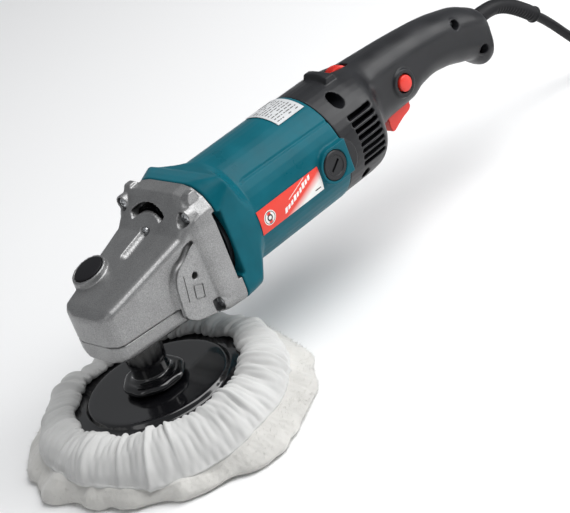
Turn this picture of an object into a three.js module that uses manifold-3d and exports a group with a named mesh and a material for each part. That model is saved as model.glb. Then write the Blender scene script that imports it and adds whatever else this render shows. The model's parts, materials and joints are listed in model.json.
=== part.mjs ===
// Rotary polisher, in millimetres, +Z up.
// The spindle turns about Z through the origin, which is the centre of the bonnet's polishing face.
// The motor lies along +X from the gear head, the handle is at the far end, and the side with the
// lock-on button faces -Y.

import * as THREE from 'three';
import { mergeVertices } from 'three/addons/utils/BufferGeometryUtils.js';
import Module from 'manifold-3d';

const wasm = await Module();
wasm.setup();

// ---------------------------------------------------------------- driving dimensions

const FIT = 0.3; // gap between pieces that rest on each other
const RUN = 0.08; // running gap between a shaft and its bearing
const AXIS_Z = 109; // height of the motor axis above the polishing face
const FLANGE_X = 72; // joint between the gear case and the motor housing
const HOUSING_END_X = 197.4; // joint between the motor housing and the handle shells
const HANDLE_END_X = 399;
const MOTOR_R = 44.25; // outside of the motor housing
const BORE_R = 40.7; // inside of the motor housing
const FLANGE_HALF = 44.4; // half width of the flange between gear case and housing
const FLANGE_LOW = 62.6;
const FLANGE_TOP = 156;
const CASE_FLOOR_Z = 86; // joint between the gear case and its cover
const COVER_FLOOR_Z = 72.5;
const BRUSH_X = 181.2;
const LOCK_SEAT_Z = 116.4; // floor of the recess under the spindle lock button
const LOCK_CAP_R = 11.1;
const HEAD_SLOPE = 0.277; // rise of the head's top face along X
const LOCK_PIN_R = 2;
const GEAR_TEETH = 37;
const PINION_TEETH = 8;
const GEAR_PITCH_R = 25.5; // outer pitch radius of the crown gear
const HEM_R = 64.6; // opening of the bonnet
const BONNET_R = 110;
const PLATE_R = 88;
const CORD_D = 8;
const CORD_R = CORD_D / 2;
const PLUG_Y = -117.4;
const SIDES = 24; // facets of an ordinary round

// ---------------------------------------------------------------- solids

const TURN_Z = new THREE.Matrix4().makeRotationX(Math.PI / 2); // three's Y axis to +Z
const TURN_X = new THREE.Matrix4().makeRotationZ(-Math.PI / 2); // three's Y axis to +X
const TURN_Y = new THREE.Matrix4();
const TURNS = { x: TURN_X, y: TURN_Y, z: TURN_Z };

// A manifold solid of a closed three.js geometry, whichever way its faces point.
function solid(geometry) {
  const bare = geometry.clone();
  bare.deleteAttribute('normal');
  bare.deleteAttribute('uv');
  const merged = mergeVertices(bare, 1e-4);
  const at = merged.attributes.position.array;
  const corners = merged.index.array;
  const triangles = [];
  let volume = 0;
  for (let i = 0; i < corners.length; i += 3) {
    const [a, b, c] = [corners[i], corners[i + 1], corners[i + 2]];
    if (a === b || b === c || c === a) continue;
    triangles.push([a, b, c]);
    const [p, q, r] = [a, b, c].map((k) => new THREE.Vector3().fromArray(at, 3 * k));
    volume += p.dot(q.cross(r));
  }
  const triVerts = new Uint32Array(triangles.flatMap(([a, b, c]) => (volume > 0 ? [a, b, c] : [a, c, b])));
  return new wasm.Manifold(new wasm.Mesh({ numProp: 3, vertProperties: new Float32Array(at), triVerts }));
}

function geometryOf(body) {
  const mesh = body.getMesh();
  const geometry = new THREE.BufferGeometry();
  geometry.setAttribute('position', new THREE.BufferAttribute(mesh.vertProperties, 3));
  geometry.setIndex(new THREE.BufferAttribute(mesh.triVerts, 1));
  geometry.computeVertexNormals();
  return geometry;
}

const join = (...bodies) => bodies.reduce((whole, body) => whole.add(body));
const cut = (body, ...tools) => tools.reduce((whole, tool) => whole.subtract(tool), body);

function box([x0, x1], [y0, y1], [z0, z1]) {
  const geometry = new THREE.BoxGeometry(x1 - x0, y1 - y0, z1 - z0);
  return solid(geometry.translate((x0 + x1) / 2, (y0 + y1) / 2, (z0 + z1) / 2));
}

// Turns a geometry made along three's Y axis onto another axis and moves it sideways to its centre.
function placed(geometry, axis, [u, v]) {
  const shift = { x: [0, u, v], y: [u, 0, v], z: [u, v, 0] }[axis];
  return geometry.applyMatrix4(TURNS[axis]).translate(...shift);
}

// A round bar along an axis from one coordinate to the other; centre gives the other two.
function bar(axis, radius, [from, to], centre, sides = SIDES, farRadius = radius) {
  const geometry = new THREE.CylinderGeometry(farRadius, radius, to - from, sides);
  geometry.translate(0, (from + to) / 2, 0);
  return solid(placed(geometry, axis, centre));
}

// A turned body: profile is a list of [radius, position along the axis], closed by the axis or itself.
function turned(axis, profile, centre = [0, 0], sides = SIDES) {
  const points = profile.map(([r, h]) => new THREE.Vector2(r, h));
  const first = points[0];
  const last = points[points.length - 1];
  if (first.x > 0 || last.x > 0) points.push(first.clone());
  const geometry = new THREE.LatheGeometry(points, sides, Math.PI / 2);
  return solid(placed(geometry, axis, centre));
}

// A round bar between two points.
function strut(from, to, radius, sides = 16) {
  const [a, b] = [from, to].map((p) => new THREE.Vector3(...p));
  const along = b.clone().sub(a);
  const geometry = new THREE.CylinderGeometry(radius, radius, along.length(), sides);
  const upright = new THREE.Vector3(0, 1, 0);
  const turn = new THREE.Quaternion().setFromUnitVectors(upright, along.clone().normalize());
  const middle = a.add(b).multiplyScalar(0.5);
  return solid(geometry.applyQuaternion(turn).translate(middle.x, middle.y, middle.z));
}

const ball = ([x, y, z], radius) => solid(new THREE.SphereGeometry(radius, 12, 8).translate(x, y, z));

const ring = (axis, inner, outer, [from, to], centre, sides = SIDES) =>
  turned(axis, [[inner, from], [outer, from], [outer, to], [inner, to]], centre, sides);

// The vertex radius of a bore whose flats clear a shaft of this radius.
const clear = (radius, gap, sides = SIDES) => (radius + gap) / Math.cos(Math.PI / sides);

// An outline in X and Z, pushed out along Y.
function slabXZ(outline, [y0, y1]) {
  const points = Array.isArray(outline) ? outline.map(([x, z]) => new THREE.Vector2(x, z)) : [];
  const shape = Array.isArray(outline) ? new THREE.Shape(points) : outline;
  const depth = y1 - y0;
  const geometry = new THREE.ExtrudeGeometry(shape, { depth, bevelEnabled: false, curveSegments: 6 });
  return solid(geometry.applyMatrix4(TURN_Z).translate(0, y1, 0));
}

// An outline in Y and Z, pushed out along X.
function slabYZ(outline, [x0, x1], holes = []) {
  const toShape = (points, Kind) => new Kind(points.map(([y, z]) => new THREE.Vector2(y, z)));
  const shape = toShape(outline, THREE.Shape);
  shape.holes = holes.map((hole) => toShape(hole, THREE.Path));
  const geometry = new THREE.ExtrudeGeometry(shape, { depth: x1 - x0, bevelEnabled: false });
  const upright = new THREE.Matrix4().makeBasis(
    new THREE.Vector3(0, 1, 0),
    new THREE.Vector3(0, 0, 1),
    new THREE.Vector3(1, 0, 0),
  );
  return solid(geometry.applyMatrix4(upright).translate(x0, 0, 0));
}

// Points of an arc about a centre in the Y-Z plane; the angle is from +Y towards +Z, in degrees.
function arc(radius, from, to, steps, [y, z] = [0, AXIS_Z]) {
  return Array.from({ length: steps + 1 }, (_, i) => {
    const angle = THREE.MathUtils.degToRad(from + ((to - from) * i) / steps);
    return [y + radius * Math.cos(angle), z + radius * Math.sin(angle)];
  });
}

const sector = (inner, outer, from, to, steps = 8, centre = [0, AXIS_Z]) =>
  [...arc(outer, from, to, steps, centre), ...arc(inner, to, from, steps, centre)];

// A rounded rectangle across X, as points [x, y, z]; the top and bottom corners have their own radius.
function section(x, half, low, high, topRadius, lowRadius = topRadius, steps = 4) {
  const rTop = Math.min(topRadius, half, (high - low) / 2);
  const rLow = Math.min(lowRadius, half, (high - low) / 2);
  const corners = [
    [half - rTop, high - rTop, rTop, 0],
    [-half + rTop, high - rTop, rTop, 90],
    [-half + rLow, low + rLow, rLow, 180],
    [half - rLow, low + rLow, rLow, 270],
  ];
  return corners.flatMap(([y, z, r, start]) =>
    arc(r, start, start + 90, steps, [y, z]).map(([py, pz]) => [x, py, pz]));
}

// A body through a row of flat convex sections with as many points each, closed at both ends.
function loft(sections) {
  const count = sections[0].length;
  const positions = sections.flat();
  const faces = [];
  for (let k = 0; k + 1 < sections.length; k++) {
    for (let i = 0; i < count; i++) {
      const j = (i + 1) % count;
      const [a, b, c, d] = [k * count + i, k * count + j, (k + 1) * count + j, (k + 1) * count + i];
      faces.push(a, d, b, b, d, c);
    }
  }
  const last = (sections.length - 1) * count;
  for (let i = 1; i + 1 < count; i++) {
    faces.push(0, i, i + 1);
    faces.push(last, last + i + 1, last + i);
  }
  const geometry = new THREE.BufferGeometry();
  geometry.setAttribute('position', new THREE.Float32BufferAttribute(positions.flat(), 3));
  geometry.setIndex(faces);
  return solid(geometry);
}

// ---------------------------------------------------------------- finishes

const FINISHES = {
  cast_alloy: [0xa6a9ac, 0.5, 0.85],
  teal_plastic: [0x0d5c68, 0.35, 0],
  black_plastic: [0x35373c, 0.5, 0],
  gloss_black: [0x0c0c0e, 0.15, 0],
  black_rubber: [0x1b1b1d, 0.7, 0],
  red_plastic: [0xe8402c, 0.35, 0],
  bare_steel: [0x9a9da1, 0.35, 1],
  gear_steel: [0x6f7276, 0.4, 1],
  lamination: [0x4d4f52, 0.55, 0.8],
  copper: [0xb4673a, 0.4, 0.9],
  brass: [0xc3a052, 0.35, 1],
  carbon: [0x222224, 0.85, 0],
  label_red: [0xd8352a, 0.4, 0],
  label_silver: [0xc9ccce, 0.35, 0.4],
  wool: [0xe6e3dc, 0.95, 0],
  foam: [0xd9c98a, 0.95, 0],
};

const polisher = new THREE.Group();

function piece(name, finish, body, parent = polisher) {
  const [color, roughness, metalness] = FINISHES[finish];
  const material = new THREE.MeshStandardMaterial({ color, roughness, metalness });
  const mesh = new THREE.Mesh(geometryOf(body), material);
  mesh.name = name;
  parent.add(mesh);
  return mesh;
}

const onAxis = [0, AXIS_Z];

// ---------------------------------------------------------------- gear case

// Rows of the head's plan: x, half width, height of the top face.
const HEAD = [
  [-33.4, 10, 104],
  [-32.4, 17, 108],
  [-30, 23.6, 111.4],
  [-26.4, 26.8, 113.4],
  [-20, 28, 115],
  [24, 34, 127.2],
  [50, 37.8, 134.3],
];

const lockCentre = [-1, 22.8];
const lockPinAt = [-0.7, 14.4];
const coverScrews = [[-22, -19], [-22, 19], [20, -27], [20, 27]];
const retainerScrewAt = [3.5, 131.8];
const FLANGE_SCREW_END = 84.8;
const flangeScrews = [[51.6, -34.5, 141.2], [50.4, -38, 73.4], [51.6, 33.4, 145.2], [50.4, 38, 73.4]];
const sideHandleAt = [39.3, 103.3];

// A slab whose underside is parallel to the head's top face, a height above the lock button's centre.
function aboveSlope(height) {
  const [x0, x1] = [-40, 40];
  const at = (x) => height + HEAD_SLOPE * (x - lockCentre[0]);
  return slabXZ([[x0, at(x0)], [x1, at(x1)], [x1, 160], [x0, 160]], [0, 50]);
}

function gearCase() {
  const head = loft(HEAD.map(([x, half, top]) => section(x, half, CASE_FLOOR_Z, top, 5, 0.5, 3)));
  const cheek = new THREE.Shape();
  cheek.moveTo(54, 130);
  cheek.lineTo(50.5, 124.6);
  cheek.bezierCurveTo(44, 124.5, 38, 118.4, 33, 116.6);
  cheek.bezierCurveTo(25.5, 113.5, 22.4, 109, 21.2, 99);
  cheek.lineTo(19.4, 82);
  cheek.lineTo(21.5, 77.5);
  cheek.lineTo(28, 72.5);
  cheek.lineTo(46, 68);
  cheek.lineTo(62, 64.5);
  cheek.lineTo(62, 130);
  const block = slabXZ(cheek, [-39.5, 39.5]);
  const underHead = box([10, 28.3], [-34.2, 34.2], [60, CASE_FLOOR_Z]);
  const shoulder = loft([
    section(41.5, 36.8, 66, 132.2, 6, 6),
    section(48.2, 38.6, 66, 139.8, 9, 6),
    section(51, 41.6, 65.5, 144, 13, 6),
    section(54, 43.2, 65, 148.5, 17, 6),
    section(57, 43.8, 64, 152.2, 22, 8),
    section(60, 44.1, 63.4, 155, 25, 9),
    section(FLANGE_X, FLANGE_HALF, FLANGE_LOW, FLANGE_TOP, 26, 9),
  ]);
  const lockBoss = cut(bar('z', 13.9, [100, 132], lockCentre, 24, 13.4), aboveSlope(125));
  const bosses = flangeScrews.map(([x, y, z]) => bar('x', 6.4, [x - 0.4, 60], [y, z], 14));
  const lugs = [-1, 1].map((side) => lug(side));
  let body = join(head, cut(block, underHead), shoulder, lockBoss, ...bosses, ...lugs);

  const gearRoom = bar('z', 27.6, [80, 107.5], [0, 0], 32);
  const upperSeat = bar('z', clear(9.5, FIT), [100, 116], [0, 0]);
  const pinionWay = bar('x', 9.5, [8, 36], onAxis, 16);
  const bearingSeat = bar('x', clear(16, FIT), [34.7, 46], onAxis);
  const fanRoom = turned('x', [
    [0, 45.3], [20.6, 45.3], [20.6, 50.5], [28, 50.5], [35.6, 54.5], [38, 57], [38, FLANGE_X + 1],
    [0, FLANGE_X + 1],
  ], onAxis, 32);
  const retainerRoom = box([45.3, 50.6], [-5, 10], [AXIS_Z, 134.6]);
  const exhaust = slabYZ(sector(24.5, 30.5, 50, 129, 8, [4.5, 118]), [40, 60]);
  const sideVents = [-1, 1].map((side) =>
    box([68.6, FLANGE_X + 1], side < 0 ? [-50, -36] : [36, 50], [82, 136]));
  const fingerTip = [20.5, 3.5, 127.2];
  const finger = strut(fingerTip, [43.8, 3.5, 133.6], 5, 12);
  const screwHole = bar('x', 2.1, [40, 50], retainerScrewAt, 10);
  const lockHole = bar('z', clear(LOCK_CAP_R, FIT), [LOCK_SEAT_Z, 135], lockCentre);
  const lockBore = bar('z', clear(LOCK_PIN_R, RUN + 0.1, 16), [96, 125], lockPinAt, 16);
  const handleHole = [-1, 1].map((side) =>
    bar('y', 2.6, side < 0 ? [-45, -30] : [30, 45], sideHandleAt, 12));
  const flangeHoles = flangeScrews.flatMap(([x, y, z]) => [
    bar('x', 2.8, [45, FLANGE_X + 1], [y, z], 8),
    bar('x', 5.2, [45, x + 3.5], [y, z], 12),
  ]);
  const coverHoles = coverScrews.map(([x, y]) => bar('z', 1.7, [80, 97], [x, y], 8));
  body = cut(body, gearRoom, upperSeat, pinionWay, bearingSeat, fanRoom, retainerRoom, exhaust);
  body = cut(body, ...sideVents, finger, ball(fingerTip, 5), screwHole, lockHole, lockBore, ...handleHole);
  return cut(body, ...flangeHoles, ...coverHoles);
}

// A cast lug that stands on each top corner of the flange.
function lug(side) {
  const outline = [[58.5, 143], [68.5, 143], [68.5, 153.6], [66.5, 156], [61, 155.4], [58.5, 151.5]];
  const y = side < 0 ? [-36.5, -29.5] : [29.5, 36.5];
  return slabXZ(outline, y);
}

function gearCaseCover() {
  const rows = HEAD.slice(1, -2).concat([[27.6, 33.6]]);
  const body = loft(rows.map(([x, half]) => section(x, half, COVER_FLOOR_Z, CASE_FLOOR_Z - FIT, 0.5, 5, 3)));
  const bearingSeat = bar('z', clear(17.5, FIT), [74.2, 90], [0, 0]);
  const shaftHole = bar('z', 12, [70, 80], [0, 0]);
  const holes = coverScrews.flatMap(([x, y]) => [
    bar('z', 1.9, [70, 90], [x, y], 8),
    bar('z', 3.9, [70, 76.5], [x, y], 10),
  ]);
  return cut(body, bearingSeat, shaftHole, ...holes);
}

// A screw along an axis: the head starts at the low end and the shank points up the axis.
function screw(axis, headRadius, headLength, shankRadius, length, at, flip = false) {
  const [x, y, z] = at;
  const along = { x, y, z }[axis];
  const centre = { x: [y, z], y: [x, z], z: [x, y] }[axis];
  const way = flip ? -1 : 1;
  const span = (a, b) => [along + way * a, along + way * b].sort((p, q) => p - q);
  const head = bar(axis, headRadius, span(0, headLength), centre, 12);
  const shank = bar(axis, shankRadius, span(headLength - 0.5, length), centre, 8);
  const slots = [0, 1].map((k) => {
    const half = k ? [0.5, headRadius * 0.62] : [headRadius * 0.62, 0.5];
    const depth = span(-0.5, headLength * 0.5);
    const u = [centre[0] - half[0], centre[0] + half[0]];
    const v = [centre[1] - half[1], centre[1] + half[1]];
    if (axis === 'x') return box(depth, u, v);
    if (axis === 'y') return box(u, depth, v);
    return box(u, v, depth);
  });
  return cut(join(head, shank), ...slots);
}

piece('gear_case', 'cast_alloy', gearCase());
piece('gear_case_cover', 'cast_alloy', gearCaseCover());
coverScrews.forEach(([x, y], i) =>
  piece(`cover_screw_${i + 1}`, 'bare_steel', screw('z', 3.4, 2.6, 1.4, 20, [x, y, 73.4])));
flangeScrews.forEach(([x, y, z], i) =>
  piece(`flange_screw_${i + 1}`, 'bare_steel', screw('x', 4.9, 3.2, 2.3, FLANGE_SCREW_END - x, [x, y, z])));

// The retainer holds the front armature bearing and is pulled forward by one screw.
const retainer = join(
  ring('x', 13.6, 20, [45.6, 48.2], onAxis),
  cut(box([45.6, 48.2], [-1.5, 8.5], [AXIS_Z + 17, 134.3]), bar('x', 16, [40, 50], onAxis)),
);
piece('bearing_retainer', 'bare_steel', cut(retainer, bar('x', 2.1, [40, 50], retainerScrewAt, 10)));
piece('retainer_screw', 'bare_steel', screw('x', 3, 2.4, 1.7, 8.8, [41, ...retainerScrewAt]));

// ---------------------------------------------------------------- spindle

piece('spindle_lower_bearing', 'bare_steel', ring('z', clear(7.5, RUN), 17.5, [74.5, 85.4], [0, 0]));
piece('spindle_upper_bearing', 'bare_steel', ring('z', clear(3.5, RUN), 9.5, [109, 115.2], [0, 0]));

const spindle = turned('z', [
  [0, 34], [6.9, 34], [6.9, 66.4], [11, 66.4], [11, 73.8], [7.5, 73.8], [7.5, 86.2], [10, 86.2],
  [10, 90], [8, 90], [8, 102.6], [3.5, 104], [3.5, 115.6], [0, 115.6],
], [0, 0], 16);
piece('spindle', 'gear_steel', spindle);

const PITCH = Math.atan(PINION_TEETH / GEAR_TEETH); // half angle of the pinion's pitch cone
const TOOTH = { top: 1.1, root: 1.5, topWidth: 0.5, rootWidth: 1.3 }; // at the outer end

// A bevel tooth at the far end of a cone whose apex is where both shafts meet. It is drawn along +X
// with its top towards +Z, and turned into place by the caller.
function bevelTooth(sink) {
  const rows = [17.9, GEAR_PITCH_R].map((x) => {
    const scale = x / GEAR_PITCH_R;
    const [top, root] = [TOOTH.top * scale, -(TOOTH.root + sink) * scale];
    const [wide, narrow] = [TOOTH.rootWidth * scale, TOOTH.topWidth * scale];
    return [[x, -wide, root], [x, wide, root], [x, narrow, top], [x, -narrow, top]];
  });
  return loft(rows);
}

function toothed(blank, count, phase, spinAxis, sink) {
  const tooth = geometryOf(bevelTooth(sink));
  if (spinAxis === 'x') tooth.rotateX(Math.PI);
  tooth.rotateY(PITCH);
  let body = blank;
  for (let k = 0; k < count; k++) {
    const copy = tooth.clone();
    const angle = ((k + phase) / count) * 2 * Math.PI;
    if (spinAxis === 'z') copy.rotateZ(angle);
    else copy.rotateX(angle);
    body = body.add(solid(copy.translate(0, 0, AXIS_Z)));
  }
  return body;
}

function crownGear() {
  const face = (r) => AXIS_Z - r * (Math.tan(PITCH) + TOOTH.root / GEAR_PITCH_R);
  const blank = turned('z', [
    [8.3, 90.3], [25.9, 90.3], [25.9, face(25.9)], [17.3, face(17.3)], [17.3, 97.2], [8.3, 97.2],
  ], [0, 0], GEAR_TEETH);
  const lockHoles = [0, 1, 2, 3].map((k) => {
    const angle = Math.atan2(lockPinAt[1], lockPinAt[0]) + (k * Math.PI) / 2;
    const reach = Math.hypot(...lockPinAt);
    return bar('z', 2.5, [85, 99], [reach * Math.cos(angle), reach * Math.sin(angle)], 12);
  });
  return toothed(cut(blank, ...lockHoles), GEAR_TEETH, 0.5, 'z', 0.4);
}
piece('crown_gear', 'gear_steel', crownGear());

// The pad hub screws onto the spindle; its wide collar covers the spindle's shoulder.
const hub = turned('z', [
  [7.3, 32.8], [22.5, 32.8], [25, 36], [22.5, 39.2], [17, 39.2], [13.6, 41.5],
  [13.6, 51], [14.6, 52], [14.6, 71.6], [11.4, 71.6], [11.4, 66], [7.3, 66],
], [0, 0]);
piece('pad_hub', 'gloss_black', hub);

const plate = turned('z', [
  [8, 21.5], [PLATE_R, 21.5], [PLATE_R, 24.5], [84, 26.6], [57.5, 28.2], [52.5, 32.5], [8, 32.5],
], [0, 0], 40);
piece('backing_plate', 'gloss_black', plate);
piece('foam_pad', 'foam', turned('z', [[0, 11.4], [86, 11.4], [86, 21.2], [0, 21.2]], [0, 0], 40));

const bonnet = turned('z', [
  [0, 0], [97, 0], [BONNET_R, 5], [BONNET_R, 12], [97.5, 22.5], [86, 30.2], [72, 33.8],
  [HEM_R, 33], [HEM_R, 30.6], [78, 29.8], [87.5, 27], [90.8, 22], [90.8, 11.1], [0, 11.1],
], [0, 0], 32);
piece('bonnet', 'wool', bonnet);

// ---------------------------------------------------------------- spindle lock

function lockButton() {
  const cap = cut(bar('z', LOCK_CAP_R, [121.2, 132], lockCentre), aboveSlope(125.5));
  const pin = bar('z', LOCK_PIN_R, [101.4, 122], lockPinAt, 16);
  return join(cap, pin);
}
piece('spindle_lock_button', 'black_plastic', lockButton());

class Helix extends THREE.Curve {
  constructor(radius, [from, to], turns) {
    super();
    Object.assign(this, { radius, from, to, turns });
  }

  getPoint(t) {
    const angle = 2 * Math.PI * this.turns * t;
    return new THREE.Vector3(
      this.radius * Math.cos(angle),
      this.radius * Math.sin(angle),
      this.from + (this.to - this.from) * t,
    );
  }
}

function sweep(curve, radius, sides, steps) {
  const circle = new THREE.Shape();
  circle.absarc(0, 0, radius, 0, 2 * Math.PI);
  const round = new THREE.Shape(circle.getSpacedPoints(sides).slice(0, sides));
  return solid(new THREE.ExtrudeGeometry(round, { steps, extrudePath: curve, curveSegments: 1 }));
}

const lockSpring = sweep(new Helix(2.5, [116.9, 120.6], 3), 0.3, 5, 27).translate([...lockPinAt, 0]);
piece('spindle_lock_spring', 'bare_steel', lockSpring);

// ---------------------------------------------------------------- motor

function motorHousing() {
  const round = (x) => section(x, MOTOR_R, AXIS_Z - MOTOR_R, AXIS_Z + MOTOR_R, MOTOR_R, MOTOR_R, 7);
  const shell = loft([
    section(FLANGE_X + FIT, FLANGE_HALF, FLANGE_LOW, FLANGE_TOP, 26, 9, 7),
    section(80, 44.6, 62.8, 155, 19, 10, 7),
    section(88.5, 44.8, 63.4, 152.6, 9, 12, 7),
    section(95, 44.5, 64.2, 153.2, 30, 30, 7),
    round(103),
    round(HOUSING_END_X - FIT),
  ]);
  const collars = [-1, 1].flatMap((side) => {
    const span = side < 0 ? [-47.4, -38] : [38, 47.4];
    return [
      bar('y', 14, span, [BRUSH_X, AXIS_Z], 20),
      box([BRUSH_X, HOUSING_END_X - FIT], span, [AXIS_Z - 13.6, AXIS_Z + 13.6]),
    ];
  });
  const room = bar('x', BORE_R / Math.cos(Math.PI / 40), [FLANGE_X - 1, 189.5], onAxis, 40);
  const rearRoom = bar('x', 39.6, [193, HOUSING_END_X + 1], onAxis, 32);
  const hub = bar('x', 14.5, [189, HOUSING_END_X - FIT], onAxis);
  const windows = [10, 100, 190, 280].map((from) =>
    slabYZ(sector(15.5, 38.5, from, from + 70, 4), [188, 194]));
  const seat = bar('x', clear(11, FIT), [186, 200], onAxis);
  const brushWays = bar('y', clear(11.3, FIT), [-50, 50], [BRUSH_X, AXIS_Z]);
  const screwHoles = flangeScrews.map(([, y, z]) => bar('x', 2.6, [70, FLANGE_SCREW_END + 1.2], [y, z], 10));
  const sideVents = [-1, 1].map((side) => box([70, 74.5], side < 0 ? [-50, -39.5] : [39.5, 50], [84, 134]));
  const innards = cut(join(cut(shell, room, rearRoom), hub), ...windows, seat);
  const whole = join(innards, ...collars.map((body) => cut(body, room, rearRoom)));
  return cut(whole, brushWays, ...screwHoles, ...sideVents);
}
piece('motor_housing', 'teal_plastic', motorHousing());

const baffle = [[24, 73], [40.4, 73], [40.4, 84], [37.5, 84], [36, 75.5], [24, 75.5]];
piece('fan_baffle', 'black_plastic', turned('x', baffle, onAxis, 32));

const CORE = [100, 152]; // the laminated cores, along the motor axis

function fieldCore() {
  const outline = arc(40.2, 0, 350, 35);
  const window = [0, 180].flatMap((turn) => [
    ...arc(34, turn - 62, turn + 62, 10),
    ...arc(22.9, turn + 62, turn + 118, 6),
  ]);
  return slabYZ(outline, CORE, [window]);
}
piece('field_core', 'lamination', fieldCore());

function fieldWinding() {
  const loop = (middle) => cut(
    slabYZ(sector(25, 33, middle - 43, middle + 43, 8), [CORE[0] - 9, CORE[1] + 9]),
    slabYZ(sector(20, 38, middle - 30.5, middle + 30.5, 6), [CORE[0] - 0.4, CORE[1] + 0.4]),
  );
  const lead = slabYZ(sector(29, 32, -50, 50, 8), [CORE[1] + 4, CORE[1] + 7]);
  return join(loop(90), loop(270), lead);
}
piece('field_winding', 'copper', fieldWinding());

piece('armature_front_bearing', 'bare_steel', ring('x', clear(6, RUN), 16, [35, 45], onAxis));
piece('armature_rear_bearing', 'bare_steel', ring('x', clear(4, RUN), 11, [189.8, 196.8], onAxis));

function armatureShaft() {
  const slope = Math.tan(PITCH);
  const body = turned('x', [
    [0, 16.6], [16.6 * slope - 0.9, 16.6], [26 * slope - 1.5, 26], [6, 28], [7.6, 28.2], [7.6, 34.6],
    [6, 34.6], [6, 188.6], [4, 189.4], [4, 198.4], [0, 198.4],
  ], onAxis, 16);
  return toothed(body, PINION_TEETH, 0, 'x', 0.6);
}
piece('armature_shaft', 'gear_steel', armatureShaft());

piece('armature_core', 'lamination', ring('x', 13.4, 21.9, CORE, onAxis, 28));
const winding = turned('x', [
  [6.3, 90], [15, 90], [19, 94], [19, 99.7], [12.9, 99.7], [12.9, 152.3], [19, 152.3], [19, 158],
  [15, 165.5], [6.3, 165.5],
], onAxis);
piece('armature_winding', 'copper', winding);
const commutator = turned('x', [
  [6.3, 166], [17, 166], [17, 169.5], [15.4, 170], [15.4, 188.2], [6.3, 188.2],
], onAxis);
piece('commutator', 'copper', commutator);

function coolingFan() {
  const disc = turned('x', [[6.3, 53], [10, 53], [10, 66], [35.5, 66], [35.5, 68], [6.3, 68]], onAxis, 32);
  const blades = Array.from({ length: 11 }, (_, k) => {
    const blade = new THREE.BoxGeometry(11.5, 18, 1.6).rotateX(-0.45).translate(60.6, 26, 0);
    return solid(blade.rotateX((k / 11) * 2 * Math.PI).translate(0, 0, AXIS_Z));
  });
  return join(disc, ...blades);
}
piece('cooling_fan', 'black_plastic', coolingFan());

[-1, 1].forEach((side) => {
  const name = side < 0 ? 'left' : 'right';
  const span = (near, far) => (side < 0 ? [-far, -near] : [near, far]);
  const tube = box([BRUSH_X - 8, BRUSH_X + 8], span(18.6, 41), [AXIS_Z - 5.4, AXIS_Z + 5.4]);
  const collar = bar('y', 11.2, span(39.6, 42.6), [BRUSH_X, AXIS_Z], 16);
  const way = box([BRUSH_X - 6.3, BRUSH_X + 6.3], span(15, 50), [AXIS_Z - 3.7, AXIS_Z + 3.7]);
  piece(`brush_holder_${name}`, 'brass', cut(join(tube, collar), way));
  const brush = box([BRUSH_X - 6, BRUSH_X + 6], span(15.8, 32), [AXIS_Z - 3.4, AXIS_Z + 3.4]);
  piece(`carbon_brush_${name}`, 'carbon', brush);
  const cap = join(
    bar('y', 11.2, span(43, 47.8), [BRUSH_X, AXIS_Z]),
    bar('y', 3.1, span(33, 44), [BRUSH_X, AXIS_Z], 12),
  );
  const slot = box([BRUSH_X - 5, BRUSH_X + 5], span(46.4, 49), [AXIS_Z - 0.9, AXIS_Z + 0.9]);
  piece(`brush_cap_${name}`, 'black_plastic', cut(cap, slot));
});

const sticker = (from, to, span) => slabYZ(sector(MOTOR_R + FIT, MOTOR_R + FIT + 0.4, from, to, 6), span);
piece('side_label', 'label_red', sticker(168.5, 195, [103.6, 166.6]));
piece('rating_plate', 'label_silver', sticker(70, 117, [166, 193.5]));

// ---------------------------------------------------------------- handle shells

// Rows of the shells' outside: x, half width, lowest and highest z, corner radius.
const HANDLE = [
  [HOUSING_END_X + FIT, 43.6, 65.4, 152.6, 43.6],
  [230, 43.4, 65.6, 152.4, 43.4],
  [239, 42.2, 66.6, 151.2, 41.4],
  [245, 38.6, 70, 150, 36.5],
  [249.5, 32.5, 75.5, 149.2, 30],
  [254, 27, 81.5, 148.6, 25],
  [261, 23.6, 87, 148, 22],
  [273, 21.6, 90.2, 147.4, 20],
  [303, 20, 91.2, 145.6, 19.5],
  [316, 19.4, 95.4, 144.4, 19],
  [332, 19, 97.2, 142.6, 18.5],
  [350, 19, 94.8, 140, 18.5],
  [367, 19, 89.6, 136, 18.5],
  [379, 19, 85, 132.6, 18.5],
  [384.5, 19, 79.6, 130.2, 18],
  [389.5, 18.8, 76, 127.4, 17.5],
  [394.4, 18, 77.2, 124.6, 16],
  [397.6, 16.5, 82.5, 122, 14.5],
  [HANDLE_END_X, 14.5, 87, 120, 12.5],
];
const shellScrews = [[217, 141.5], [218, 79.5], [362.5, 126.4], [384, 94]];
const shellBores = [5.5, 4, 4, 4]; // radius of the bore over each screw's head
const lockOnAt = [290, 115];
const dialCentre = [246.5, 138.4];
const DIAL_R = 13;
const trigger = { x: [275.4, 304], half: 6.4 };
const guardAt = [HANDLE_END_X, 111];

function ventSlots() {
  return Array.from({ length: 8 }, (_, k) => {
    const z = 128 - 5.4 * k;
    return box([213.5, 238.5], [-50, 50], [z - 1.75, z + 1.75]);
  });
}

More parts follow.
